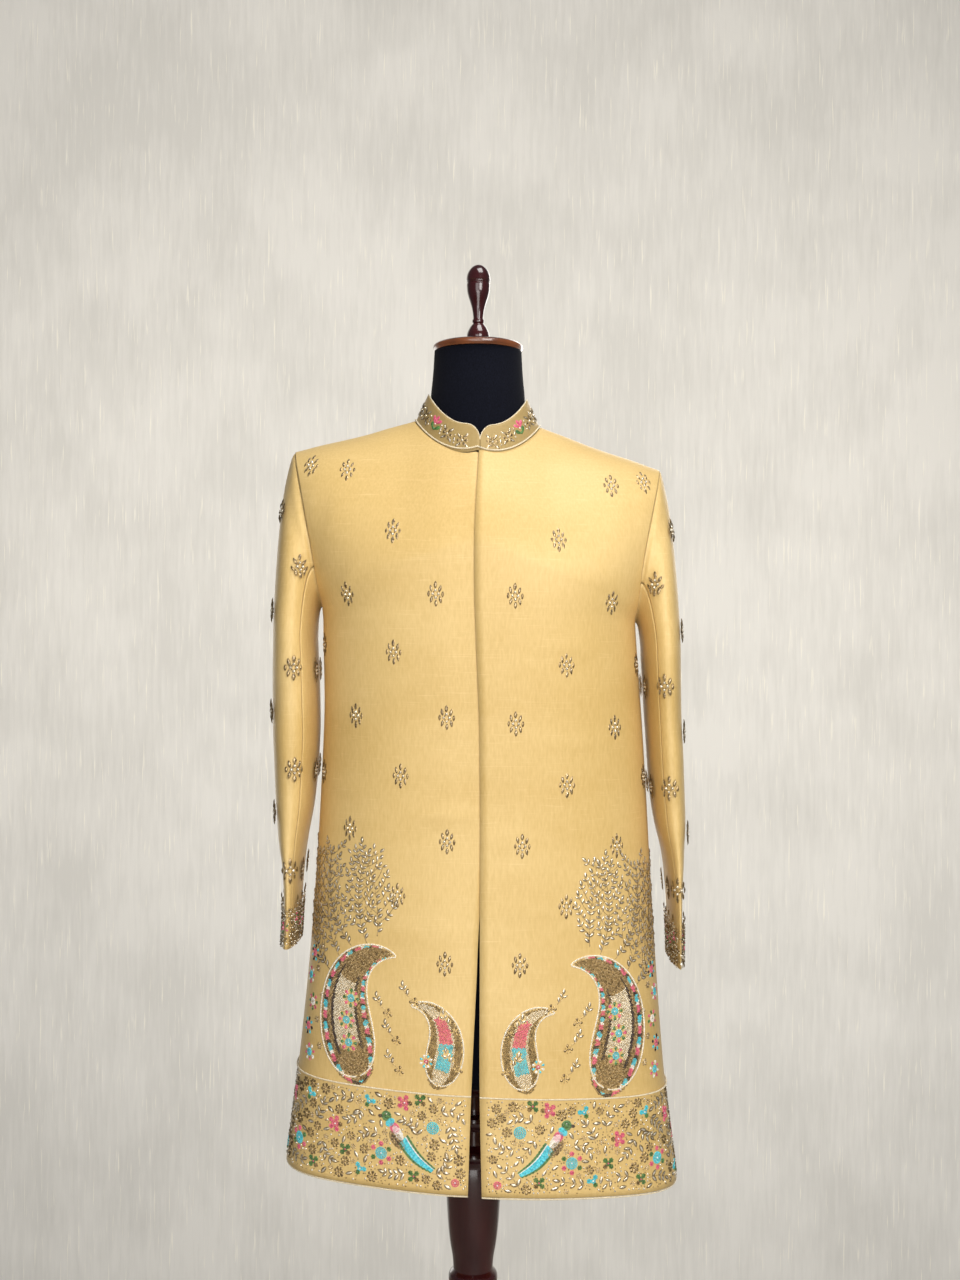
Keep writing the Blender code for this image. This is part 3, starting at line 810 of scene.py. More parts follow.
# Small puckers where the cap is eased into the armhole: depth, how many round it, and how far down
puckers = (0.0009, 20, 0.05)


def sleeveRelief(around, down):
    lift = np.zeros(around.shape)
    for turn, at, wide, high, depth in sleeveDents:
        off = ((around - math.radians(turn) + math.pi) % (2 * math.pi) - math.pi) / math.radians(wide)
        lift = lift + depth * np.exp(-(off**2) - ((down - at) / high) ** 2)
    depth, count, reach = puckers
    eased = np.cos(around * count) * np.maximum(np.cos(around), 0)
    return lift + depth * eased * np.exp(-((down / reach) ** 2))


def makeSleeves():
    frontSeam, backSeam = sleeveSeams
    runs = (
        ("upper", backSeam, frontSeam, (0.24, 0.66), 0.124),
        ("under", frontSeam, backSeam + 2 * math.pi, (0.15, 0.54), 0.071),
    )
    capCount, armCount = sleeveRows
    down = np.concatenate([np.linspace(0, 1, capCount)[:-1], np.linspace(1, 2, armCount)])
    for name, side in (("left", left), ("right", right)):
        for part, first, last, flat, area in runs:
            turns = np.linspace(first + seamAngle, last - seamAngle, sleeveColumns[part])
            around, at = np.meshgrid(turns, down, indexing="ij")
            inside = onSleeve(side, around, at)
            piece = clothPiece(f"sleeve_{name}_{part}", inside, side == left, sleeveRelief(around, at))


collarTuck = 0.09  # share of the band's rise that goes down inside the neckline


def makeCollar():
    columns, rows = collarGridSize
    share, rise = np.meshgrid(np.linspace(0, 1, columns), np.linspace(0, 1, rows), indexing="ij")
    turn = collarTurn(share)
    inside = onCollar(turn, lerp(-collarTuck, collarHeight(turn), rise))
    piece = clothPiece("collar", inside, False, np.zeros(share.shape))
    piece.data.materials[0] = shadedCollarSilk


makeFronts()
makeBack()
makeSleeves()
makeCollar()
print("scene: cloth")


# Twisted cords along lines of points
cordTwist = {
    "pitch": 0.0052,
    "strands": 2,
    "apart": 0.46,  # of the cord's radius, from its middle to a strand's
    "thick": 0.54,  # of the cord's radius
    "sides": 5,
    "step": 0.0012,
    "points": 160,
    "collarPoints": 240,
}


# Evenly spaced points along a line
def resampled(points, step):
    runs = np.linalg.norm(np.diff(points, axis=0), axis=1)
    reach = np.concatenate([[0], np.cumsum(runs)])
    count = max(int(round(reach[-1] / step)), 2)
    at = np.linspace(0, reach[-1], count + 1)
    return np.stack([np.interp(at, reach, points[:, i]) for i in range(3)], axis=1), at


def twistedCord(name, line, radius, nodes):
    verts, faces = [], []
    sides, strands = cordTwist["sides"], cordTwist["strands"]
    points, at = resampled(line, cordTwist["step"])
    forward = unit(np.gradient(points, axis=0))
    across = unit(np.cross(forward, np.tile([0.0, 0.0, 1.0], (len(points), 1))))
    upward = np.cross(across, forward)
    ring = (np.arange(sides) * 2 * math.pi / sides)[None, :, None]
    spread = (across[:, None] * np.cos(ring) + upward[:, None] * np.sin(ring)) * radius * cordTwist["thick"]
    for strand in range(strands):
        phase = (2 * math.pi * (at / cordTwist["pitch"] + strand / strands))[:, None]
        middle = points + (across * np.cos(phase) + upward * np.sin(phase)) * radius * cordTwist["apart"]
        verts.append((middle[:, None] + spread).transpose(1, 0, 2).reshape(-1, 3))
        faces.append(gridFaces(sides, len(points), strand * sides * len(points), True, closed=True))
    piece = meshObject(name, np.concatenate(verts), np.concatenate(faces), [cordCloth])
    return place(piece, "trim_cord", nodes)


def levelLine(face, side, height, out, up):
    count = cordTwist["points"]
    start = float(angleAt(innerEdge(side, face, np.array(height)), bodyWidth(height)))
    angle = np.linspace(start, math.pi / 2, count)
    level = np.full(count, height)
    points = onBody(face, side, angle, level, insetAt(face, side, angle, level))
    return points + bodyNormal(face, side, angle, level) * out + vectors(0, 0, up)


def makeCords():
    runs = (
        ("border_cord", (borderTop, cloth + gap + cordRadius, 0.0)),
        ("hem_piping", (hem, cloth / 2, -(gap + cordRadius))),
    )
    for name, run in runs:
        backLines = [levelLine(back, right, *run)[:0:-1], levelLine(back, left, *run)]
        lines = (
            ("left", levelLine(front, left, *run)),
            ("right", levelLine(front, right, *run)),
            ("back", np.concatenate(backLines)),
        )
        for part, line in lines:
            twistedCord(f"twist_{name}_{part}", line, cordRadius, [f"{name}_{part}"])
    turn = collarTurn(np.linspace(0, 1, cordTwist["collarPoints"]))
    across = onCollar(turn, pipingSlope) - onCollar(turn, 0.0)
    outward = vectors(np.sin(turn), -np.cos(turn), 0.0)
    bandSide = unit(np.cross(across, np.cross(outward, across)))
    line = onCollar(turn, pipingAt) + bandSide * (cloth + gap + cordRadius)
    twistedCord("twist_collar_piping", line, cordRadius, ["collar_piping"])


makeCords()
print("scene: cords")


# The form: shoulders and trunk under the cloth, blended into the neck
def inTrunk(x, y, height, face):
    wide = along(torso, "half_width", height)
    deep = along(torso, "front" if face == front else "back", height)
    share = np.minimum(np.abs(x) / wide, 1.0)
    deep = deep * (1 - share**roundness) ** (1 / roundness)
    drop = ridge(x) - torsoEase - height
    reach = deep * quarter(drop / ridgeFall[face], fallPower(face, x))
    return (np.abs(x) < wide) & (drop > 0) & (np.abs(y) < reach)


def trunkRadius(turn, height):
    inside = np.zeros(turn.shape)
    outside = np.full(turn.shape, planLimit)
    for _ in range(halvings):
        middle = (inside + outside) / 2
        x, y = middle * np.sin(turn), -middle * np.cos(turn)
        within = np.where(y < 0, inTrunk(x, y, height, front), inTrunk(x, y, height, back))
        inside = np.where(within, middle, inside)
        outside = np.where(within, outside, middle)
    return inside


# Where the form's lower rim, trunk, shoulders and neck start, with the rows of points up each
formLevels = ((0.558, 8), (0.572, 24), (1.28, 40), (1.43, 20))
formColumns = 128
formLip = 0.004


def makeForm():
    starts = [start for start, rows in formLevels] + [neckTop - formLip]
    levels = [np.linspace(starts[i], starts[i + 1], rows)[:-1] for i, (start, rows) in enumerate(formLevels)]
    levels = np.concatenate(levels + [[neckTop - formLip, neckTop]])
    turns = np.linspace(0, 2 * math.pi, formColumns, endpoint=False)
    turn, height = np.meshgrid(turns, levels, indexing="ij")
    slim = along(neck, "radius", height) / np.hypot(np.sin(turn), np.cos(turn) / neckDepth)
    slim = np.where(height < neck["height"][0], 0.0, slim)
    trunk = trunkRadius(turn, height)
    biggest = np.maximum(trunk, slim)
    radius = biggest * ((trunk / biggest) ** neckBlend + (slim / biggest) ** neckBlend) ** (1 / neckBlend)
    x = radius * np.sin(turn)
    leaned = lean * passed(height, torsoLean) * (1 - passed(height, neckUpright))
    points = vectors(x, -radius * np.cos(turn), height - leaned * x)
    count, rows = turn.shape
    faces = [tuple(face) for face in gridFaces(count, rows, 0, False, closed=True)]
    index = np.arange(count * rows).reshape(count, rows)
    faces += [tuple(index[::-1, 0]), tuple(index[:, -1])]
    piece = meshObject("jersey_form", points.reshape(-1, 3), faces, [jersey])
    place(piece, "jersey", ["form_torso"])


# Turned pieces: radius and height down the outer side; a mark of 1 keeps a corner sharp
turnedSteps = 80
turnedParts = 6
turnedSharp = 38
capFlat = 1.5222
finialProfile = (
    (0.0, 1.630, 0),
    (0.006, 1.6285, 0),
    (0.0115, 1.6235, 0),
    (0.0147, 1.617, 0),
    (0.0160, 1.609, 1),
    (0.0152, 1.6078, 0),
    (0.0158, 1.6066, 1),
    (0.0149, 1.6052, 0),
    (0.0155, 1.6040, 1),
    (0.0147, 1.594, 0),
    (0.0127, 1.586, 0),
    (0.0100, 1.578, 0),
    (0.0080, 1.570, 0),
    (0.0067, 1.561, 0),
    (0.0066, 1.5575, 1),
    (0.0078, 1.5562, 0),
    (0.0078, 1.5530, 0),
    (0.0068, 1.5518, 1),
    (0.0105, 1.547, 0),
    (0.0140, 1.540, 0),
    (0.0150, 1.534, 0),
    (0.0140, 1.528, 0),
    (0.0140, 1.5248, 1),
    (0.0, 1.5248, 1),
)
capProfile = (
    (0.0, 1.5245, 0),
    (0.0500, 1.5245, 1),
    (0.0520, 1.5243, 0),
    (0.0560, 1.5235, 0),
    (0.0593, 1.5210, 0),
    (0.0596, 1.5190, 0),
    (0.0593, 1.5172, 0),
    (0.0575, 1.5143, 1),
    (0.0, 1.5143, 1),
)
postProfile = (
    (0.0, 0.5577, 1),
    (0.0460, 0.5577, 1),
    (0.0480, 0.550, 0),
    (0.0440, 0.541, 0),
    (0.0300, 0.530, 1),
    (0.0280, 0.512, 0),
    (0.0300, 0.506, 1),
    (0.0360, 0.503, 0),
    (0.0380, 0.497, 0),
    (0.0360, 0.491, 0),
    (0.0290, 0.483, 1),
    (0.0300, 0.465, 1),
    (0.0380, 0.456, 0),
    (0.0400, 0.450, 0),
    (0.0370, 0.444, 0),
    (0.0345, 0.438, 1),
    (0.0360, 0.420, 0),
    (0.0362, 0.398, 0),
    (0.0347, 0.370, 0),
    (0.0333, 0.350, 0),
    (0.0310, 0.330, 0),
    (0.0275, 0.310, 0),
    (0.0262, 0.294, 1),
    (0.0315, 0.288, 0),
    (0.0325, 0.281, 0),
    (0.0310, 0.274, 0),
    (0.0250, 0.266, 1),
    (0.0240, 0.150, 0),
    (0.0270, 0.090, 0),
    (0.0380, 0.0563, 1),
    (0.0, 0.0563, 1),
)
baseProfile = (
    (0.0, 0.056, 1),
    (0.0470, 0.056, 1),
    (0.0520, 0.050, 0),
    (0.0560, 0.040, 1),
    (0.1000, 0.034, 0),
    (0.1720, 0.028, 0),
    (0.1850, 0.024, 0),
    (0.1900, 0.016, 0),
    (0.1880, 0.004, 0),
    (0.1840, 0.0, 1),
    (0.0, 0.0, 1),
)


# Smooth curve through a profile's points, broken at its sharp corners
def roundedProfile(profile):
    points = np.array([row[:2] for row in profile])
    sharp = [row[2] == 1 or i in (0, len(profile) - 1) for i, row in enumerate(profile)]
    made = []
    for i in range(len(points) - 1):
        start, end = points[i], points[i + 1]
        enter = (end - start) if sharp[i] else (end - points[i - 1]) / 2
        leave = (end - start) if sharp[i + 1] else (points[i + 2] - start) / 2
        reach = np.linalg.norm(end - start)
        enter = enter * min(1.0, reach / max(np.linalg.norm(enter), 1e-9))
        leave = leave * min(1.0, reach / max(np.linalg.norm(leave), 1e-9))
        straight = sharp[i] and sharp[i + 1]
        for t in np.linspace(0, 1, 2 if straight else turnedParts + 1)[:-1]:
            at = start * (1 + 2 * t) * (1 - t) ** 2 + enter * t * (1 - t) ** 2
            made.append(at + end * t * t * (3 - 2 * t) + leave * t * t * (t - 1))
    made.append(points[-1])
    made = np.array(made)
    made[:, 0] = np.maximum(made[:, 0], 0.0)
    return made


def turnedPiece(name, profile, material, slotName, node, topMaterial=None, topAbove=None):
    rounded = roundedProfile(profile)[::-1]
    turns = np.linspace(0, 2 * math.pi, turnedSteps, endpoint=False)
    turn, index = np.meshgrid(turns, np.arange(len(rounded)), indexing="ij")
    radius, height = np.maximum(rounded[index, 0], 0.00002), rounded[index, 1]
    points = vectors(radius * np.sin(turn), -radius * np.cos(turn), height).reshape(-1, 3)
    faces = gridFaces(turnedSteps, len(rounded), 0, False, closed=True)
    kinds = None
    materials = [material]
    if topMaterial is not None:
        materials.append(topMaterial)
        kinds = (points[faces].mean(axis=1)[:, 2] > topAbove).astype(int)
    piece = meshObject(name, points, faces, materials, kinds)
    piece.data.set_sharp_from_angle(angle=math.radians(turnedSharp))
    return place(piece, slotName, [node])


def makeStand():
    dark, rim = woods["dark_wood"], woods["rim_wood"]
    turnedPiece("turned_finial", finialProfile, dark, "dark_wood", "finial")
    turnedPiece("turned_cap", capProfile, rim, "rim_wood", "neck_cap", dark, capFlat)
    turnedPiece("turned_post", postProfile, dark, "dark_wood", "post")
    turnedPiece("turned_base", baseProfile, dark, "dark_wood", "base")


makeForm()
makeStand()
print("scene: form and stand")


# Embroidery: each motif is a list of stitches on a flat plan, laid over the curved cloth
# A stitch is kind, colour, u, v, turn, length, width, height, in metres and radians
embroidery = {
    "bead": 0.0023,
    "beadRise": 0.55,  # of a bead's width
    "leaf": (0.0112, 0.0048),
    "leafRise": 0.0015,
    "shadowRim": (1.12, 1.38, 0.0007),  # the dark bronze leaf under a pale one, its rim partly a real bronze outline and partly painted shadow: longer, wider, and its height
    "step": 0.0015,  # over which the cloth's slope is measured
    "jitter": 0.05,
    "seed": 11,
    "designSeed": 31,
    "cuffSeed": 51,
}
chance = np.random.default_rng(embroidery["seed"])
upright = math.pi / 2
sunk = -0.1  # how far a shape's edge lies below the cloth, as a share of its height


def domeShape(sides, shoulder, rise):
    at = np.arange(sides) * 2 * math.pi / sides
    rings = ((0.5, sunk), (shoulder, rise))
    points = [(reach * math.cos(t), reach * math.sin(t), z) for reach, z in rings for t in at]
    faces = []
    for i in range(sides):
        after = (i + 1) % sides
        faces += [(i, after, sides + after), (i, sides + after, sides + i)]
        faces.append((sides + i, sides + after, 2 * sides))
    return np.array(points + [(0, 0, 1)], float), np.array(faces)


# A long form: its outline at the base and a ridge of fewer points above it
def ridgedShape(outline, ridgePoints):
    half = len(outline)
    points = [(x, y, sunk) for x, y in outline] + [(x, -y, sunk) for x, y in outline[-2:0:-1]]
    loop = len(points)
    points += [(x, 0.0, z) for x, z in ridgePoints]
    faces = []
    spread = [min(int(i * len(ridgePoints) / half), len(ridgePoints) - 1) for i in range(half)]
    top = spread + spread[-2:0:-1]
    for i in range(loop):
        after = (i + 1) % loop
        faces.append((after, i, loop + top[i]))
        if top[after] != top[i]:
            faces.append((after, loop + top[i], loop + top[after]))
    return np.array(points, float), np.array(faces)


shapes = {
    "bead": domeShape(6, 0.40, 0.62),
    "stone": domeShape(8, 0.30, 0.90),
    "leaf": ridgedShape(
        [(-0.5, 0.0), (-0.30, 0.34), (0.0, 0.5), (0.30, 0.32), (0.5, 0.0)],
        [(-0.28, 0.7), (0.0, 1.0), (0.30, 0.7)],
    ),
    "petal": ridgedShape(
        [(-0.5, 0.0), (-0.20, 0.26), (0.15, 0.5), (0.40, 0.36), (0.5, 0.0)],
        [(-0.22, 0.6), (0.12, 1.0), (0.34, 0.8)],
    ),
    "stitch": ridgedShape([(-0.5, 0.0), (-0.38, 0.5), (0.38, 0.5), (0.5, 0.0)], [(-0.36, 1.0), (0.36, 1.0)]),
}


def moved(stitchList, u, v, turn=0.0, side=1, scale=1.0):
    c, s = math.cos(turn), math.sin(turn)
    made = []
    for kind, color, x, y, angle, length, width, height in stitchList:
        x, y, angle = x * scale, y * scale, angle + turn
        x, y = x * c - y * s, x * s + y * c
        if side < 0:
            x, angle = -x, math.pi - angle
        made.append((kind, color, u + x, v + y, angle, length * scale, width * scale, height))
    return made


def polar(reach, turn, u=0.0, v=0.0):
    return u + reach * math.cos(turn), v + reach * math.sin(turn)


def ringTurns(count, offset=0.0):
    return [2 * math.pi * (i + offset) / count for i in range(count)]


def bead(color, u, v, size=embroidery["bead"], kind="bead"):
    return (kind, color, u, v, 0.0, size, size, size * embroidery["beadRise"])


def leaf(color, u, v, turn, length=embroidery["leaf"][0], width=embroidery["leaf"][1], kind="leaf"):
    return (kind, color, u, v, turn, length, width, embroidery["leafRise"])


# A pale leaf on a slightly larger dark bronze one, whose rim is partly a real bronze outline and partly
# painted shadow
def leafWithShadowRim(color, u, v, turn, length, width):
    longer, wider, height = embroidery["shadowRim"]
    under = ("leaf", "bronze", u, v, turn, length * longer, width * wider, height)
    return [under, leaf(color, u, v, turn, length, width * 0.9)]


# The small scattered motif: a lozenge of dark petals round silver stones
def butta():
    made = [leaf("bronze", 0, at, upright, 0.0100, 0.0048) for at in (0.0115, -0.0115)]
    for side in (1, -1):
        made.append(leaf("bronze", side * 0.0088, 0.0, upright, 0.0084, 0.0038))
        for high in (1, -1):
            at = (side * 0.0056, high * 0.0068, upright - side * high * 0.22)
            made.append(leaf("bronze", *at, 0.0104, 0.0042))
            made.append(leaf("silver", *at, 0.0060, 0.0015, "stitch"))
    for u, v in ((0, 0.0046), (0, -0.0046), (0.0036, 0), (-0.0036, 0)):
        made.append(bead("silver", u, v, 0.0040, "stone"))
    for u, v in ((0.0022, 0.0024), (-0.0022, 0.0024), (0.0022, -0.0024), (-0.0022, -0.0024)):
        made.append(bead("bronze", u, v, 0.0022))
    return made + [leaf("silver", 0, at, upright, 0.0058, 0.0016, "stitch") for at in (0.0113, -0.0113)]


def floret(color, heart, size=0.011, petals=7):
    made = []
    for at in ringTurns(petals):
        u, v = polar(size * 0.31, at)
        made.append(leaf(color, u, v, at, size * 0.44, size * 0.33, "petal"))
        made.append(leaf(heart, u * 1.1, v * 1.1, at, size * 0.22, size * 0.07, "stitch"))
    return made + [bead(heart, 0, 0, size * 0.24)]


def rosette(color, rings, heart=None, size=0.0022):
    made = [bead(heart or color, 0, 0, size * 1.1)]
    for ring in range(1, rings + 1):
        turns = ringTurns(6 * ring, 0.5 * (ring % 2))
        made += [bead(color, *polar(ring * size * 0.92, at), size) for at in turns]
    return made


# A core with small clusters of beads round it
def clustered(core, colors, reach, count=6):
    made = list(core)
    for i, at in enumerate(ringTurns(count, 0.5)):
        made += moved(rosette(colors[i % len(colors)], 1, None, 0.0024), *polar(reach, at), at)
    return made


def fringed(core, petals, size, count=8):
    made = list(core)
    for i, at in enumerate(ringTurns(count, 0.5)):
        u, v = polar(size * 0.78, at)
        made.append(leaf(petals[i % len(petals)], u, v, at, size * 0.62, size * 0.46, "petal"))
        made.append(leaf("white", u * 1.05, v * 1.05, at, size * 0.30, size * 0.07, "stitch"))
    return made


# Satin stitches side by side over an ellipse
def satin(color, length, width, long=0.0042, thick=0.0010):
    made = []
    rows = max(int(width / thick), 1)
    for row in range(rows):
        across = (row + 0.5) / rows * 2 - 1
        reach = length / 2 * math.sqrt(max(1 - across * across, 0))
        count = max(int(round(2 * reach / (long * 0.8))), 1)
        run = 2 * reach / count
        for i in range(count):
            far = -reach + (i + 0.5) * run
            made.append(("stitch", color, far, across * width / 2, 0.0, run * 1.15, thick * 1.2, 0.0008))
    return made


# A bird's tail: rows of stitches across it, steps along it, length, start, row pitch, bend and turn
birdTail = {"rows": 5, "steps": 10, "length": 0.040, "start": -0.012, "pitch": 0.00135, "bend": 0.003}
# Its body in satin: colour, length, width, place and turn
birdBody = (
    ("bronze", 0.024, 0.0120, -0.006, -0.0055, 0.08),
    ("black", 0.018, 0.0020, -0.006, -0.0060, 0.08),
    ("white", 0.018, 0.0085, -0.001, 0.0012, 0.20),
    ("pink", 0.013, 0.0105, 0.005, 0.0020, 0.15),
    ("turquoise", 0.008, 0.0115, 0.0125, 0.0026, 0.10),
    ("green", 0.0115, 0.0110, 0.0200, 0.0046, 0.15),
    ("black", 0.0055, 0.0036, 0.0245, -0.0006, -0.9),
)


# A small long-tailed bird, its head towards +u
def bird():
    made = []
    tail = birdTail
    for row in range(-tail["rows"], tail["rows"] + 1):
        color = "green" if abs(row) > 3 else ("turquoise" if row < 3 else "white")
        for i in range(tail["steps"] + 1):
            far = i / tail["steps"]
            u = tail["start"] - tail["length"] * far
            v = row * tail["pitch"] * (1 - 0.50 * far * far) - tail["bend"] * math.sin(math.pi * far)
            made.append(("stitch", color, u, v, 0.10 - 0.25 * far, 0.0058, 0.0016, 0.0009))
    for color, length, width, u, v, turn in birdBody:
        made += moved(satin(color, length, width), u, v, turn)
    return made + [bead("white", 0.0215, 0.0062, 0.0018)]


# A branch with pairs of leaves; bend is how far it turns, in radians
def sprig(length, bend, pairs, color="silver", leafSize=embroidery["leaf"], stem="gold"):
    made = []
    steps = max(int(length / 0.0035), 2)
    points = []
    u = v = 0.0
    for i in range(steps + 1):
        heading = bend * i / steps
        points.append((u, v, heading))
        u, v = polar(length / steps, heading, u, v)
    for spot in points[:-1]:
        made.append(("stitch", stem, *spot, 0.0042, 0.0009, 0.0007))
    for pair in range(pairs):
        u, v, heading = points[int((pair + 0.6) * steps / pairs)]
        shrink = 1.0 - 0.25 * pair / pairs
        for turn in (heading + 0.85, heading - 0.85):
            at = polar(leafSize[0] * 0.50 * shrink, turn, u, v)
            made += leafWithShadowRim(color, *at, turn, leafSize[0] * shrink, leafSize[1] * shrink)
    u, v, heading = points[-1]
    return made + leafWithShadowRim(color, *polar(0.004, heading, u, v), heading, *leafSize)


# A curled teardrop filled with beads in even rows, its round end at the origin and its tip at the top
def paisley(length, width, curl, colors, beadSize=embroidery["bead"]):
    parts = 240
    t = np.linspace(0, 1, parts + 1)
    heading = upright - 0.45 + curl * t**2.2
    u, v = (np.concatenate([[0], np.cumsum(f(heading[:-1]) * (length / parts))]) for f in (np.cos, np.sin))
    reach = width / 2 * np.sin(math.pi * np.clip(t, 0.001, 0.999) ** 0.62) ** 0.75 * (1 - 0.25 * t)
    made = []
    for side in (1, -1):
        x = u - side * reach * np.sin(heading)
        y = v + side * reach * np.cos(heading)
        run = np.concatenate([[0], np.cumsum(np.hypot(np.diff(x), np.diff(y)))])
        for at in np.arange(0.0, run[-1], beadSize * 0.95):
            made.append(bead("pearl", np.interp(at, run, x), np.interp(at, run, y), beadSize * 1.1))
    pitch = beadSize * 0.97
    rise = pitch * 0.866  # rows of an even triangular grid
    low, high = v.min() - width / 2, v.max() + width / 2
    for row in range(int((high - low) / rise)):
        y = low + row * rise
        x = np.arange(u.min() - width / 2, u.max() + width / 2, pitch) + (row % 2) * pitch / 2
        far = np.hypot(x[:, None] - u, y - v) / np.maximum(reach, 0.0008)
        nearest = far.argmin(axis=1)
        inside = far.min(axis=1) < 1 - 0.9 * beadSize / np.maximum(reach[nearest], beadSize)
        for i in np.flatnonzero(inside):
            color = colors(float(far[i, nearest[i]]), float(t[nearest[i]]))
            made.append(bead(color, float(x[i]), y, beadSize))
    return made


# Lays stitches over a ground, which gives a point of the cloth for each place on the plan
class Heap:
    def __init__(self):
        self.verts, self.faces, self.kinds, self.count = [], [], [], 0

    def lay(self, stitchList, ground):
        step = embroidery["step"]
        for kind, (points, faces) in shapes.items():
            chosen = [s for s in stitchList if s[0] == kind]
            if not chosen:
                continue
            u, v, turn, length, width, height = np.array([s[2:] for s in chosen], float).T
            colors = np.array([stitchNames.index(s[1]) for s in chosen])
            sizes = 1 + embroidery["jitter"] * chance.standard_normal(len(chosen))
            across = unit(ground(u + step, v) - ground(u - step, v))
            normal = unit(np.cross(across, ground(u, v + step) - ground(u, v - step)))
            upward = np.cross(normal, across)
            c, s = np.cos(turn)[:, None], np.sin(turn)[:, None]
            main = (across * c + upward * s) * (length * sizes)[:, None]
            cross = (upward * c - across * s) * (width * sizes)[:, None]
            placed = ground(u, v)[:, None]
            for axis, direction in enumerate((main, cross, normal * height[:, None])):
                placed = placed + points[None, :, axis, None] * direction[:, None]
            first = self.count + np.arange(len(chosen))[:, None, None] * len(points)
            self.verts.append(placed.reshape(-1, 3))
            self.faces.append((faces[None] + first).reshape(-1, 3))
            self.kinds.append(np.repeat(colors, len(faces)))
            self.count += placed.shape[0] * placed.shape[1]

    def piece(self, name):
        kinds = np.concatenate(self.kinds)
        used = sorted(set(kinds.tolist()))
        materials = [stitches[stitchNames[k]] for k in used]
        order = np.searchsorted(used, kinds)
        made = meshObject(name, np.concatenate(self.verts), np.concatenate(self.faces), materials, order)
        return place(made, "embroidery")


def layPiece(name, plan, ground):
    heap = Heap()
    heap.lay(plan, ground)
    heap.piece(name)


# Arc lengths round the body at a run of heights, so that plans lie on it unstretched
arcHeights = np.linspace(0.425, 1.40, 66)
arcAngles = (math.pi / 2) * np.linspace(0, 1, 181) ** 1.3
arcTables = {}
for arcFace in (front, back):
    arcGrid = onBody(arcFace, 1, arcAngles[None, :], arcHeights[:, None])
    arcRuns = np.cumsum(np.linalg.norm(np.diff(arcGrid[..., :2], axis=1), axis=-1), axis=1)
    arcTables[arcFace] = np.pad(arcRuns, ((0, 0), (1, 0)))


def angleAlong(face, reach, height):
    at = np.clip(np.interp(height, arcHeights, np.arange(len(arcHeights))), 0, len(arcHeights) - 1.001)
    low = at.astype(int)
    rows = lerp(arcTables[face][low], arcTables[face][low + 1], (at - low)[:, None])
    reach = np.clip(reach, 0, rows[:, -1])
    spot = np.clip((rows < reach[:, None]).sum(axis=1), 1, len(arcAngles) - 1)
    index = np.arange(len(rows))
    share = (reach - rows[index, spot - 1]) / (rows[index, spot] - rows[index, spot - 1])
    return lerp(arcAngles[spot - 1], arcAngles[spot], share)


# Flat plan of the front or back seen from outside: u is 0 at the centre line and grows to the right
def bodyGround(face):
    def ground(u, v):
        across = np.atleast_1d(u) * (1 if face == front else -1)
        height = np.atleast_1d(v)
        side = np.where(across >= 0, 1.0, -1.0)
        angle = angleAlong(face, np.abs(across), height)
        inset = np.where(side < 0, insetAt(face, right, angle, height), 0.0)
        point = onBody(face, side, angle, height, inset)
        normal = bodyNormal(face, side, angle, height, inset)
        return point + normal * (cloth + relief(face, point))[:, None]

    return ground


# How far from the centre line the side seam lies, along the cloth
def seamReach(face, height):
    return float(np.interp(height, arcHeights, arcTables[face][:, -1]))


# Scattered motifs in half drop: columns measured from the centre line, rows from the top
buttaLook = {
    "columns": (0.046, 0.106, 0.172, 0.238),
    "top": 1.336,
    "drop": 0.153,
    "lowest": {front: (0.70, 0.76, 0.86, 0.90), back: (0.66, 0.66, 0.86, 0.90)},
    "margin": 0.012,
    "drift": 0.003,
    "armhole": 0.20,  # columns further out than this end below the armhole
    "shoulder": (0.222, 1.345, 0.15),
}


def makeButtas():
    drop = buttaLook["drop"]
    armholeHeight = along(armhole, "height", 0.0, key="seam")
    shoulderU, shoulderV, shoulderTurn = buttaLook["shoulder"]
    for face, name in ((front, "front"), (back, "back")):
        heap = Heap()
        ground = bodyGround(face)
        for side in (1, -1):
            for i, column in enumerate(buttaLook["columns"]):
                height = buttaLook["top"] - (drop / 2 if i % 2 else 0.0) - (drop if i == 0 else 0.0)
                while height > buttaLook["lowest"][face][i]:
                    drift = chance.normal(0, buttaLook["drift"], 2)
                    fits = height < armholeHeight or column < buttaLook["armhole"]
                    if column + buttaLook["margin"] < seamReach(face, height) and fits:
                        heap.lay(moved(butta(), side * column + drift[0], height + drift[1]), ground)
                    height -= drop
            heap.lay(moved(butta(), side * shoulderU, shoulderV, shoulderTurn * side), ground)
        heap.piece("buttas_" + name)


def sleeveNormal(side, turn, at, above, below):
    aside = onSleeve(side, turn + 0.01, at) - onSleeve(side, turn - 0.01, at)
    down = onSleeve(side, turn, below) - onSleeve(side, turn, above)
    return unit(np.cross(aside, down) * side)


# Plan of a sleeve near one place: around in radians, height before the lean
def sleeveGround(side, around, height):
    downs = np.linspace(0.02, 1.995, 160)
    heights = onSleeve(side, around, downs)
    heights = heights[:, 2] + lean * heights[:, 0]
    down = float(np.interp(-height, -heights, downs))
    ends = onSleeve(side, np.array([around - 0.02, around + 0.02]), down)
    aside = (ends[1] - ends[0]) / 0.04
    ends = onSleeve(side, around, np.array([down - 0.01, min(down + 0.01, 2.0)]))
    below = (ends[1] - ends[0]) / 0.02
    normal = unit(np.cross(aside, below) * side)
    upward = unit(np.array([0.0, 0.0, 1.0]) - normal * normal[2])
    across = np.cross(upward, normal)
    grid = np.array([[aside @ aside, aside @ below], [aside @ below, below @ below]])

    def ground(u, v):
        wanted = np.atleast_1d(u)[:, None] * across + np.atleast_1d(v)[:, None] * upward
        shift = np.linalg.solve(grid, np.stack([wanted @ aside, wanted @ below]))
        turn = around + shift[0]
        at = np.clip(down + shift[1], 0.012, 1.999)
        outward = sleeveNormal(side, turn, at, at - 0.005, np.minimum(at + 0.005, 2))
        return onSleeve(side, turn, at) + outward * (cloth + sleeveRelief(turn, at))[:, None]

    return ground


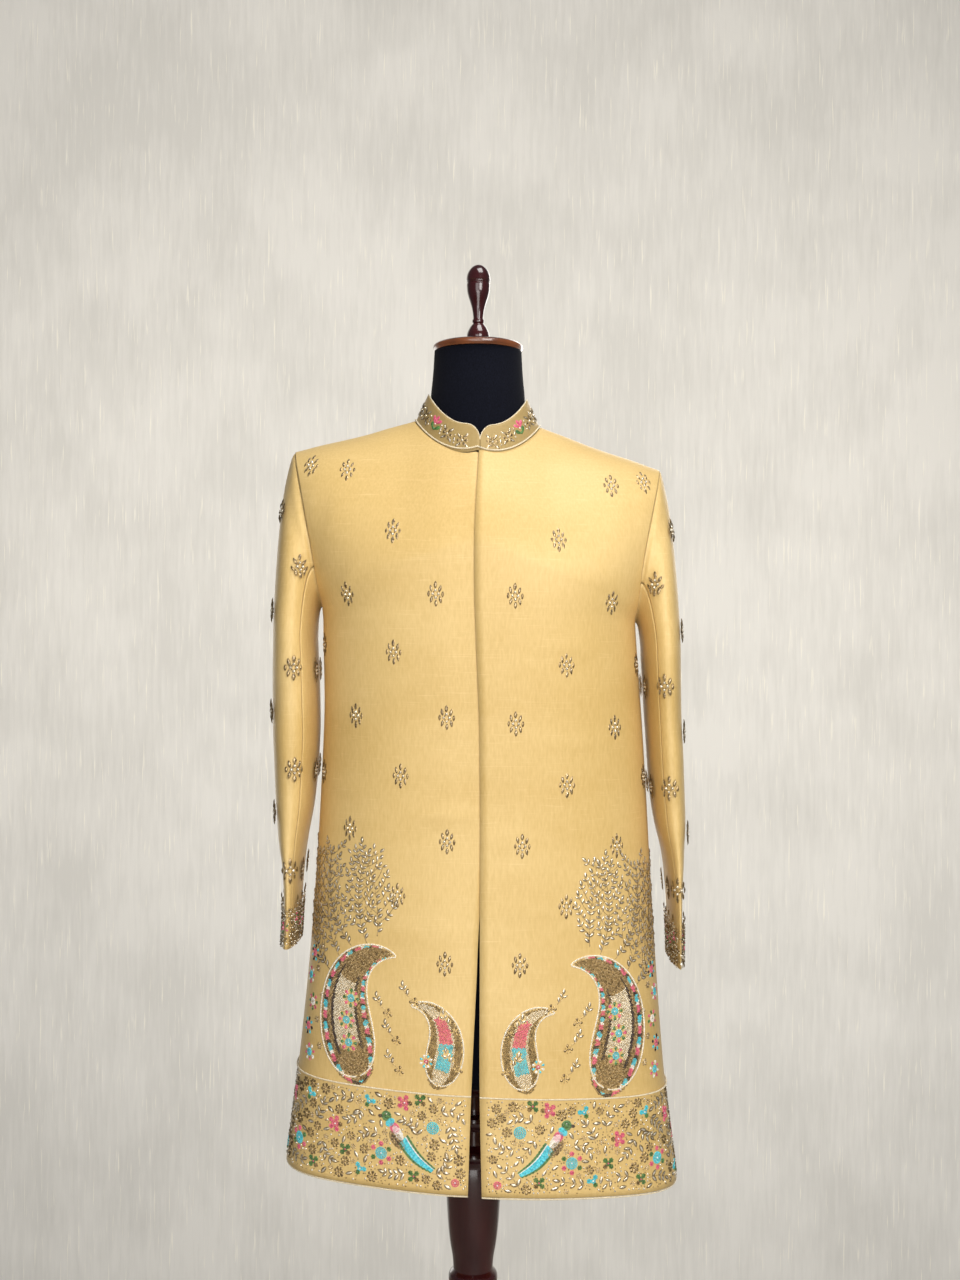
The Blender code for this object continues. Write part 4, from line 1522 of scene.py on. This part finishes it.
sleeveButtas = {
    "columns": ((100, 1.213), (40, 1.285), (-20, 1.220), (-80, 1.285), (-140, 1.080), (160, 1.080)),
    "drop": 0.130,
    "lowest": 0.80,
}


def makeSleeveButtas():
    for side, name in ((left, "left"), (right, "right")):
        heap = Heap()
        for degrees, height in sleeveButtas["columns"]:
            while height > sleeveButtas["lowest"]:
                heap.lay(butta(), sleeveGround(side, math.radians(degrees), height))
                height -= sleeveButtas["drop"]
        heap.piece("buttas_sleeve_" + name)


def spotsOf(stitchList):
    return np.array([(s[2], s[3], (s[5] + s[6]) / 4) for s in stitchList])


# Free strips at a plan's ends, and how much of a stitch's reach counts there
plotEdge = {"start": 0.004, "end": 0.003, "counted": 0.8}


# A plan being filled: it keeps the places taken, so that motifs don't run into each other
class Plot:
    def __init__(self, width, low, high, seed=0):
        self.width, self.low, self.high = width, low, high
        self.dice = np.random.default_rng(seed)
        self.spots = np.zeros((0, 3))
        self.made = []

    def room(self, u, v):
        away = (self.spots[:, 0] - u) ** 2 + (self.spots[:, 1] - v) ** 2
        return not (away < self.spots[:, 2] ** 2).any()

    def free(self, stitchList, margin):
        spots = spotsOf(stitchList)
        edge = spots[:, 2] * plotEdge["counted"]
        within = (spots[:, 0] - edge > plotEdge["start"]) & (spots[:, 1] - edge > self.low)
        within &= (spots[:, 0] + edge < self.width - plotEdge["end"]) & (spots[:, 1] + edge < self.high)
        if not within.all():
            return False
        others = self.spots[None]
        apart = np.hypot(spots[:, None, 0] - others[..., 0], spots[:, None, 1] - others[..., 1])
        return not (apart < spots[:, None, 2] + others[..., 2] + margin).any()

    def take(self, stitchList):
        self.spots = np.concatenate([self.spots, spotsOf(stitchList)])
        self.made.extend(stitchList)

    # Tries motifs at random places between the spans across and up, and keeps those that fit
    def scatter(self, across, up, tries, source, margin, roof=None):
        for _ in range(tries):
            u, v, turn = (self.dice.uniform(*span) for span in (across, up, (0, 2 * math.pi)))
            if (roof and v > roof(u)) or not self.room(u, v):
                continue
            motif = moved(source(), u, v, turn)
            if self.free(motif, margin):
                self.take(motif)


# Main motifs of the border on one half: name, place from the front edge and height
borderMotifs = (
    ("bird", 0.092, 0.5075),
    ("bloom", 0.112, 0.480),
    ("blue rose", 0.046, 0.518),
    ("pink rose", 0.082, 0.546),
    ("pink rose", 0.174, 0.508),
    ("small pink", 0.018, 0.452),
    ("green leaves", 0.062, 0.551),
    ("green leaves", 0.160, 0.478),
    ("small blue", 0.140, 0.457),
    ("small blue", 0.128, 0.543),
    ("green leaves", 0.070, 0.456),
    ("bloom", 0.232, 0.478),
    ("small blue", 0.213, 0.538),
    ("pink rose", 0.255, 0.528),
    ("small blue", 0.280, 0.456),
    ("green leaves", 0.205, 0.455),
    ("pink rose", 0.292, 0.498),
    ("green leaves", 0.300, 0.545),
)
borderStitches = {
    "bird": moved(bird(), 0, 0, 0.75, 1, 1.15),
    "bloom": clustered(rosette("turquoise", 3, "white", 0.0024), ("pink", "pink", "green"), 0.0118),
    "blue rose": rosette("turquoise", 3, "silver", 0.0025),
    "pink rose": clustered(rosette("pink", 2, "white", 0.0024), ("pink", "pink", "bronze"), 0.0072, 5),
    "small pink": rosette("pink", 2, "white", 0.0023),
    "small blue": clustered(
        rosette("turquoise", 1, "white", 0.0026), ("turquoise", "turquoise", "green"), 0.0056, 3
    ),
    "green leaves": clustered(rosette("green", 1, "pink", 0.0024), ("green", "green", "bronze"), 0.0056, 4),
}


# Margins of the border, the height at which its length is measured, and how far it ends from the seam
borderLook = {"low": 0.0045, "high": 0.0035, "motif": 0.012, "measured": 0.50, "seam": 0.003}


# One half of the border, from the front edge to the side seam
def borderPlan(width, seed):
    low, high = hem + borderLook["low"], borderTop - borderLook["high"]
    plot = Plot(width, low, high, seed)
    dice = plot.dice
    for name, u, v in borderMotifs:
        if u + borderLook["motif"] < width:
            plot.take(moved(borderStitches[name], u, v))

    def longSprig():
        bend = dice.uniform(-2.0, 2.0)
        return sprig(dice.uniform(0.026, 0.040), bend, dice.integers(3, 5), "silver", (0.0098, 0.0042))

    def shortSprig():
        return sprig(dice.uniform(0.012, 0.018), dice.uniform(-1.2, 1.2), 2, "silver", (0.0090, 0.0040))

    for tries, source, margin in (
        (1500, longSprig, 0.0008),
        (600, lambda: floret("bronze", "gold", dice.uniform(0.0115, 0.0145), 7), 0.0004),
        (900, shortSprig, 0.0005),
        (700, lambda: leafWithShadowRim("silver", 0, 0, 0, 0.0105, 0.0042), 0.0008),
        (700, lambda: floret("gold", "silver", 0.0075, 6), 0.0004),
        (900, lambda: [bead("silver", 0, 0, 0.0030, "stone")], 0.0004),
        (1500, lambda: [bead("bronze", 0, 0, 0.0019)], 0.0004),
    ):
        plot.scatter((0, width), (low, high), tries, source, margin)
    return plot.made


# The four quarters of the skirt: face, name, which way the plan's own u grows, and where it starts
quarters = (
    (front, "front_left", 1, 0.0015),
    (front, "front_right", -1, 0.0150),
    (back, "back_left", -1, 0.0),
    (back, "back_right", 1, 0.0),
)


def makeBorder():
    for index, (face, name, turned, edge) in enumerate(quarters):
        width = seamReach(face, borderLook["measured"]) - edge - borderLook["seam"]
        plan = borderPlan(width, embroidery["seed"] + index)
        layPiece("border_" + name, moved(plan, turned * edge, 0, 0, turned), bodyGround(face))


# The design over the border: curled teardrops of beads, leafy sprays and a side garland
def bigColors(row, t):
    if 0.70 < row <= 0.86:
        return ("turquoise", "turquoise", "black", "pink", "pink", "white")[int(t * 60) % 6]
    if row < 0.42 and 0.20 < t < 0.60:
        return "silver"
    if 0.42 <= row < 0.52 and 0.16 < t < 0.66:
        return "black"
    return "gold" if (int(t * 40) + int(row * 12)) % 2 == 0 else "bronze"


def smallColors(row, t):
    if row < 0.38 and 0.15 < t < 0.70:
        return "turquoise" if t < 0.42 else "pink"
    return "silver" if row < 0.52 else "bronze"


# Branches of the spray: place, heading, length and bend; its twigs sit at these shares of a branch
sprayBranches = (
    (0.150, 0.742, 1.15, 0.115, 0.9),
    (0.172, 0.735, 0.75, 0.125, 1.1),
    (0.135, 0.752, 1.65, 0.095, -0.5),
    (0.190, 0.720, 0.95, 0.110, 1.0),
    (0.205, 0.700, 0.60, 0.090, 1.2),
    (0.225, 0.735, 1.30, 0.110, 0.3),
)
twigShares = (0.15, 0.28, 0.41, 0.54, 0.67, 0.80, 0.92)


def sprayPlan(dice):
    made = []
    for u, v, heading, length, bend in sprayBranches:
        branch = sprig(length, bend, int(length / 0.0080), "silver", (0.0086, 0.0037), "bronze")
        made += moved(branch, u, v, heading)
        for share in twigShares:
            at = polar(length * share, heading + bend * share / 2, u, v)
            for side in (1, -1):
                reach = dice.uniform(0.018, 0.034)
                twig = sprig(reach, -side * 0.5, 4, "silver", (0.0082, 0.0035), "bronze")
                made += moved(twig, *at, heading + bend * share + side * 0.95)
    return made


# Drops what would run into work already laid; the two layers of a leaf stay together
def thinned(stitchList, width, low, high):
    kept = []
    plot = Plot(width, low, high)
    last, fits = None, False
    for stitch in stitchList:
        spot = (stitch[2], stitch[3])
        if stitch[0] == "stitch":
            if abs(stitch[2]) < width - 0.004:
                kept.append(stitch)
            continue
        if spot != last:
            fits = plot.free([stitch], -0.0009)
            if fits:
                plot.take([stitch])
        if fits:
            kept.append(stitch)
        last = spot
    return kept


# The garland by the side seam: the blossoms' places, and their hearts' and petals' colours in turn
garlandPlaces = ((0.236, 0.588), (0.243, 0.620), (0.235, 0.652), (0.246, 0.684), (0.238, 0.714))
garlandHearts = ("turquoise", "pink", "white")
garlandPetals = (("white", "pink"), ("turquoise", "black"), ("pink", "green"))


def garland(dice):
    made = []
    for i, (u, v) in enumerate(garlandPlaces):
        core = rosette(garlandHearts[i % 3], 2, "gold")
        made += moved(fringed(core, garlandPetals[i % 3], 0.0105), u, v, dice.uniform(0, 1))
        made += moved(floret("gold", "silver", 0.009, 6), u - 0.020, v + 0.012)
    return made


# Blossoms inside the big teardrop, with their turns, and bronze florets with a sprig
innerBlossoms = ((0.172, 0.612, 0.4), (0.176, 0.640, 1.2), (0.170, 0.668, 2.0))
looseFlorets = (
    (0.104, 0.585),
    (0.108, 0.622),
    (0.086, 0.672),
    (0.120, 0.655),
    (0.030, 0.592),
    (0.034, 0.640),
)
designLook = {"top": 0.90, "measured": 0.62, "seam": 0.003}


def designPlan(width, seed):
    dice = np.random.default_rng(seed)
    made = []
    for u, v, turn in innerBlossoms:
        made += moved(fringed(rosette("turquoise", 2, "white"), ("pink", "green"), 0.0110), u, v, turn)
    made += moved(fringed(rosette("pink", 1, "white"), ("turquoise", "white"), 0.0080), 0.070, 0.600)
    for u, v in looseFlorets:
        made += moved(floret("bronze", "gold", 0.0125), u, v)
        made += moved(sprig(0.016, 0.9, 2, "silver", (0.0080, 0.0036)), u + 0.006, v + 0.006, 0.6)
    made += moved(paisley(0.205, 0.082, 2.3, bigColors), 0.158, 0.572, 0.08)
    made += moved(paisley(0.125, 0.050, -2.2, smallColors), 0.056, 0.572, 0.75)
    made += garland(dice)
    made += sprayPlan(dice)
    return thinned(made, width, hem, designLook["top"])


def makeDesign():
    for index, (face, name, turned, edge) in enumerate(quarters):
        width = seamReach(face, designLook["measured"]) - designLook["seam"]
        plan = designPlan(width, embroidery["designSeed"] + index)
        layPiece("design_" + name, moved(plan, 0, 0, 0, turned), bodyGround(face))


# The collar's work, measured along the band from its front end and up it
collarLook = {
    "spacing": 0.0215,
    "start": 0.016,
    "half": 0.228,  # half the band's length
    "radius": 0.0735,  # of the band, on average
    "floret": 0.0150,
    "lotus": 0.060,
    "middle": 0.0160,
    "frontMiddle": 0.0125,
    "edge": 0.0011,
    "edgeOut": 0.6,  # of the cloth's thickness
    "edgeUp": 0.0004,
}


# Plan of the collar band: u along it from the back's middle, v up it
def collarGround(u, v):
    turn = math.pi + np.atleast_1d(u) / collarLook["radius"]
    share = np.atleast_1d(v) / collarRise
    aside = onCollar(turn + 0.01, share) - onCollar(turn - 0.01, share)
    rise = onCollar(turn, share + 0.05) - onCollar(turn, share - 0.05)
    return onCollar(turn, share) + unit(np.cross(aside, rise)) * cloth


def lotus():
    made = [leaf("pink", 0.0, 0.0050, upright, 0.0100, 0.0046, "petal")]
    for turn in (0.75, 2.39):
        u, v = polar(0.0040, turn, 0.0, 0.0015)
        made.append(leaf("pink", u, v, turn, 0.0092, 0.0040, "petal"))
        made.append(leaf("green", u, v - 0.0060, turn, 0.0092, 0.0046, "petal"))
    return made + [bead("green", 0, -0.0035, 0.0034), bead("white", 0, 0.0012, 0.0020)]


def makeCollarWork():
    made = []
    half, spacing = collarLook["half"], collarLook["spacing"]
    for side in (1, -1):
        fromFront = collarLook["start"]
        while fromFront < half - 0.004:
            u = side * (half - fromFront)
            middle = collarLook["frontMiddle" if fromFront < 0.030 else "middle"]
            if abs(fromFront - collarLook["lotus"]) < spacing / 2:
                made += moved(lotus(), u, middle, scale=1.3)
            else:
                made += moved(floret("bronze", "silver", collarLook["floret"], 6), u, middle)
                for turn in (0.9, 2.3, 4.0, 5.4):
                    at = (u + 0.0085 * math.cos(turn), middle + 0.0088 * math.sin(turn))
                    made += leafWithShadowRim("silver", *at, turn, 0.0070, 0.0030)
            between = u - side * spacing / 2
            made += [bead("silver", between, middle + away, 0.0026) for away in (0.0055, -0.0050)]
            made += leafWithShadowRim("silver", between, middle, upright + 0.4 * side, 0.0066, 0.0028)
            fromFront += spacing
    layPiece("collar_work", made, collarGround)


def makeCollarEdge():
    turn = collarTurn(np.linspace(0.0, 1.0, 260))
    share = collarHeight(turn)
    top = onCollar(turn, share)
    rise = unit(top - onCollar(turn, share - 0.05))
    out = unit(np.cross(unit(np.gradient(top, axis=0)), rise))
    line = top + out * cloth * collarLook["edgeOut"] + rise * collarLook["edgeUp"]
    twistedCord("collar_edge", line, collarLook["edge"], ())


# Cuffs: a dense band with a toothed top
cuffLook = {
    "ring": 1.93,  # where the sleeve's girth is measured, counted down it
    "teeth": 9,
    "low": 0.044,
    "tooth": 0.018,
    "start": 0.003,
    "limits": (0.001, 0.070),
    "filled": (0.002, 0.062),
}


def cuffRing(side):
    turns = np.linspace(-math.pi, math.pi, 241)
    runs = np.linalg.norm(np.diff(onSleeve(side, turns, cuffLook["ring"]), axis=0), axis=1)
    return turns, np.concatenate([[0], np.cumsum(runs)])


def cuffPlan(perimeter, seed):
    start, teeth = cuffLook["start"], cuffLook["teeth"]
    plot = Plot(perimeter + 2 * start, *cuffLook["limits"], seed)

    def top(u):
        return cuffLook["low"] + cuffLook["tooth"] * (1 - abs((u / perimeter * teeth) % 1 * 2 - 1))

    for i in range(teeth):
        u = (i + 0.5) / teeth * perimeter + start
        bud = [leaf("bronze", u, 0.064, upright, 0.0090, 0.0034), bead("silver", u, 0.0565, 0.0030, "stone")]
        blossom = fringed(rosette("pink", 1, "white", 0.0019), ("green", "pink"), 0.0066, 6)
        plot.take(bud + moved(blossom, u, 0.028 + 0.010 * (i % 2)))
    for tries, source, margin in (
        (600, lambda: floret("bronze", "silver", 0.0088, 6), 0.0003),
        (900, lambda: [leaf("silver", 0, 0, 0, 0.0082, 0.0036)], 0.0002),
        (900, lambda: [leaf("gold", 0, 0, 0, 0.0062, 0.0028)], 0.0002),
        (1500, lambda: [bead("silver", 0, 0, 0.0022)], 0.0002),
        (1200, lambda: [bead("bronze", 0, 0, 0.0018)], 0.0001),
    ):
        plot.scatter((start, perimeter), cuffLook["filled"], tries, source, margin, top)
    return [s for s in plot.made if s[2] < perimeter + start]


# Plan of a whole cuff, its seam under the arm
def cuffGround(side):
    turns, reach = cuffRing(side)
    perimeter = reach[-1]

    def ground(u, v):
        u = np.atleast_1d(u) % perimeter
        turn = np.interp(u if side == right else perimeter - u, reach, turns)
        at = 2.0 - np.atleast_1d(v) / (bicep - cuff)
        outward = sleeveNormal(side, turn, at, at - 0.01, at)
        return onSleeve(side, turn, np.minimum(at, 2.0)) + outward * cloth

    return ground


def makeCuffs():
    for side, name in ((left, "left"), (right, "right")):
        perimeter = float(cuffRing(side)[1][-1])
        plan = cuffPlan(perimeter, embroidery["cuffSeed"] + side)
        layPiece("cuff_work_" + name, plan, cuffGround(side))


makeButtas()
makeSleeveButtas()
print("scene: scattered motifs")
makeBorder()
print("scene: border")
makeDesign()
print("scene: design over the border")
makeCollarWork()
makeCollarEdge()
makeCuffs()
faceCount = sum(len(item.data.polygons) for item in bpy.data.objects if item.type == "MESH")
print(f"scene: collar and cuffs, {faceCount} faces in all")


# Camera, wall, floor and light
view = {
    "place": (0.0047, -2.0, 1.13),
    "roll": 0.315,
    "lens": 42.19,
    "sensor": 36.0,
    "wall": 2.6,  # clear of a view slantwise from behind, but in front of one from straight behind
    "floor": 0.62,
    "exposure": 0.0,
    "room": ((0.93, 0.95, 1.0), 0.15),
}


def makeCamera():
    data = bpy.data.cameras.new("camera")
    data.lens = view["lens"]
    data.sensor_width = view["sensor"]
    data.dof.use_dof = False
    camera = bpy.data.objects.new("camera", data)
    camera.location = view["place"]
    camera.rotation_euler = (upright, math.radians(-view["roll"]), 0.0)
    bpy.context.scene.collection.objects.link(camera)
    bpy.context.scene.camera = camera


def stagePlane(name, corners, material):
    plane = meshObject(name, np.array(corners, float), np.array([[0, 1, 2, 3]]), [material], smoothed=False)


def makeStage():
    wall, floor, wide, under = view["wall"], view["floor"], 4.0, -0.001
    corners = [(-wide, wall, -1.6), (wide, wall, -1.6), (wide, wall, 4.2), (-wide, wall, 4.2)]
    stagePlane("wall", corners, wallMaterial())
    corners = [(-wide, -wide, under), (wide, -wide, under), (wide, floor, under), (-wide, floor, under)]
    stagePlane("floor", corners, grainMaterial("stone floor", floorLook))


# Name, place, point aimed at, size, power and colour; the wall has a lamp of its own behind the coat
lamps = (
    ("key", (1.1, -2.6, 1.9), (0.05, 0.0, 0.95), 1.2, 46.0, (1.0, 0.98, 0.95)),
    ("fill", (-0.5, -2.7, 1.5), (0.0, 0.0, 0.9), 1.4, 19.0, (1.0, 0.98, 0.96)),
    ("top", (0.30, -0.5, 2.7), (0.0, 0.0, 1.3), 0.8, 17.0, (1.0, 0.98, 0.96)),
    ("low", (0.0, -2.6, 0.40), (0.0, 0.2, 0.6), 1.4, 25.0, (1.0, 0.98, 0.95)),
    ("wall_high", (0.0, 0.90, 2.90), (0.0, 2.6, 2.9), 4.6, 42.0, (1.0, 0.975, 0.935)),
    ("wall_low", (0.0, 0.90, -0.60), (0.0, 2.6, -0.6), 4.6, 42.0, (1.0, 0.975, 0.935)),
    ("behind", (0.9, 2.2, 2.0), (0.9, 0.0, 2.0), 1.4, 20.0, (1.0, 0.98, 0.95)),
    ("behind_low", (-1.2, 2.3, 0.9), (-1.2, 0.0, 0.9), 1.4, 10.0, (1.0, 0.98, 0.95)),
)


def makeLamps():
    for name, where, aim, size, power, color in lamps:
        data = bpy.data.lights.new(name, "AREA")
        data.size = size
        data.energy = power
        data.color = color
        lamp = bpy.data.objects.new(name, data)
        lamp.location = where
        lamp.visible_camera = False
        lamp.rotation_euler = (Vector(aim) - Vector(where)).to_track_quat("-Z", "Y").to_euler()
        bpy.context.scene.collection.objects.link(lamp)
    world = bpy.data.worlds.new("room")
    world.use_nodes = True
    color, strength = view["room"]
    world.node_tree.nodes["Background"].inputs["Color"].default_value = (*color, 1.0)
    world.node_tree.nodes["Background"].inputs["Strength"].default_value = strength
    bpy.context.scene.world = world


makeStage()
makeCamera()
makeLamps()
bpy.context.scene.view_settings.view_transform = "Standard"
bpy.context.scene.view_settings.exposure = view["exposure"]
print("scene: camera and light")
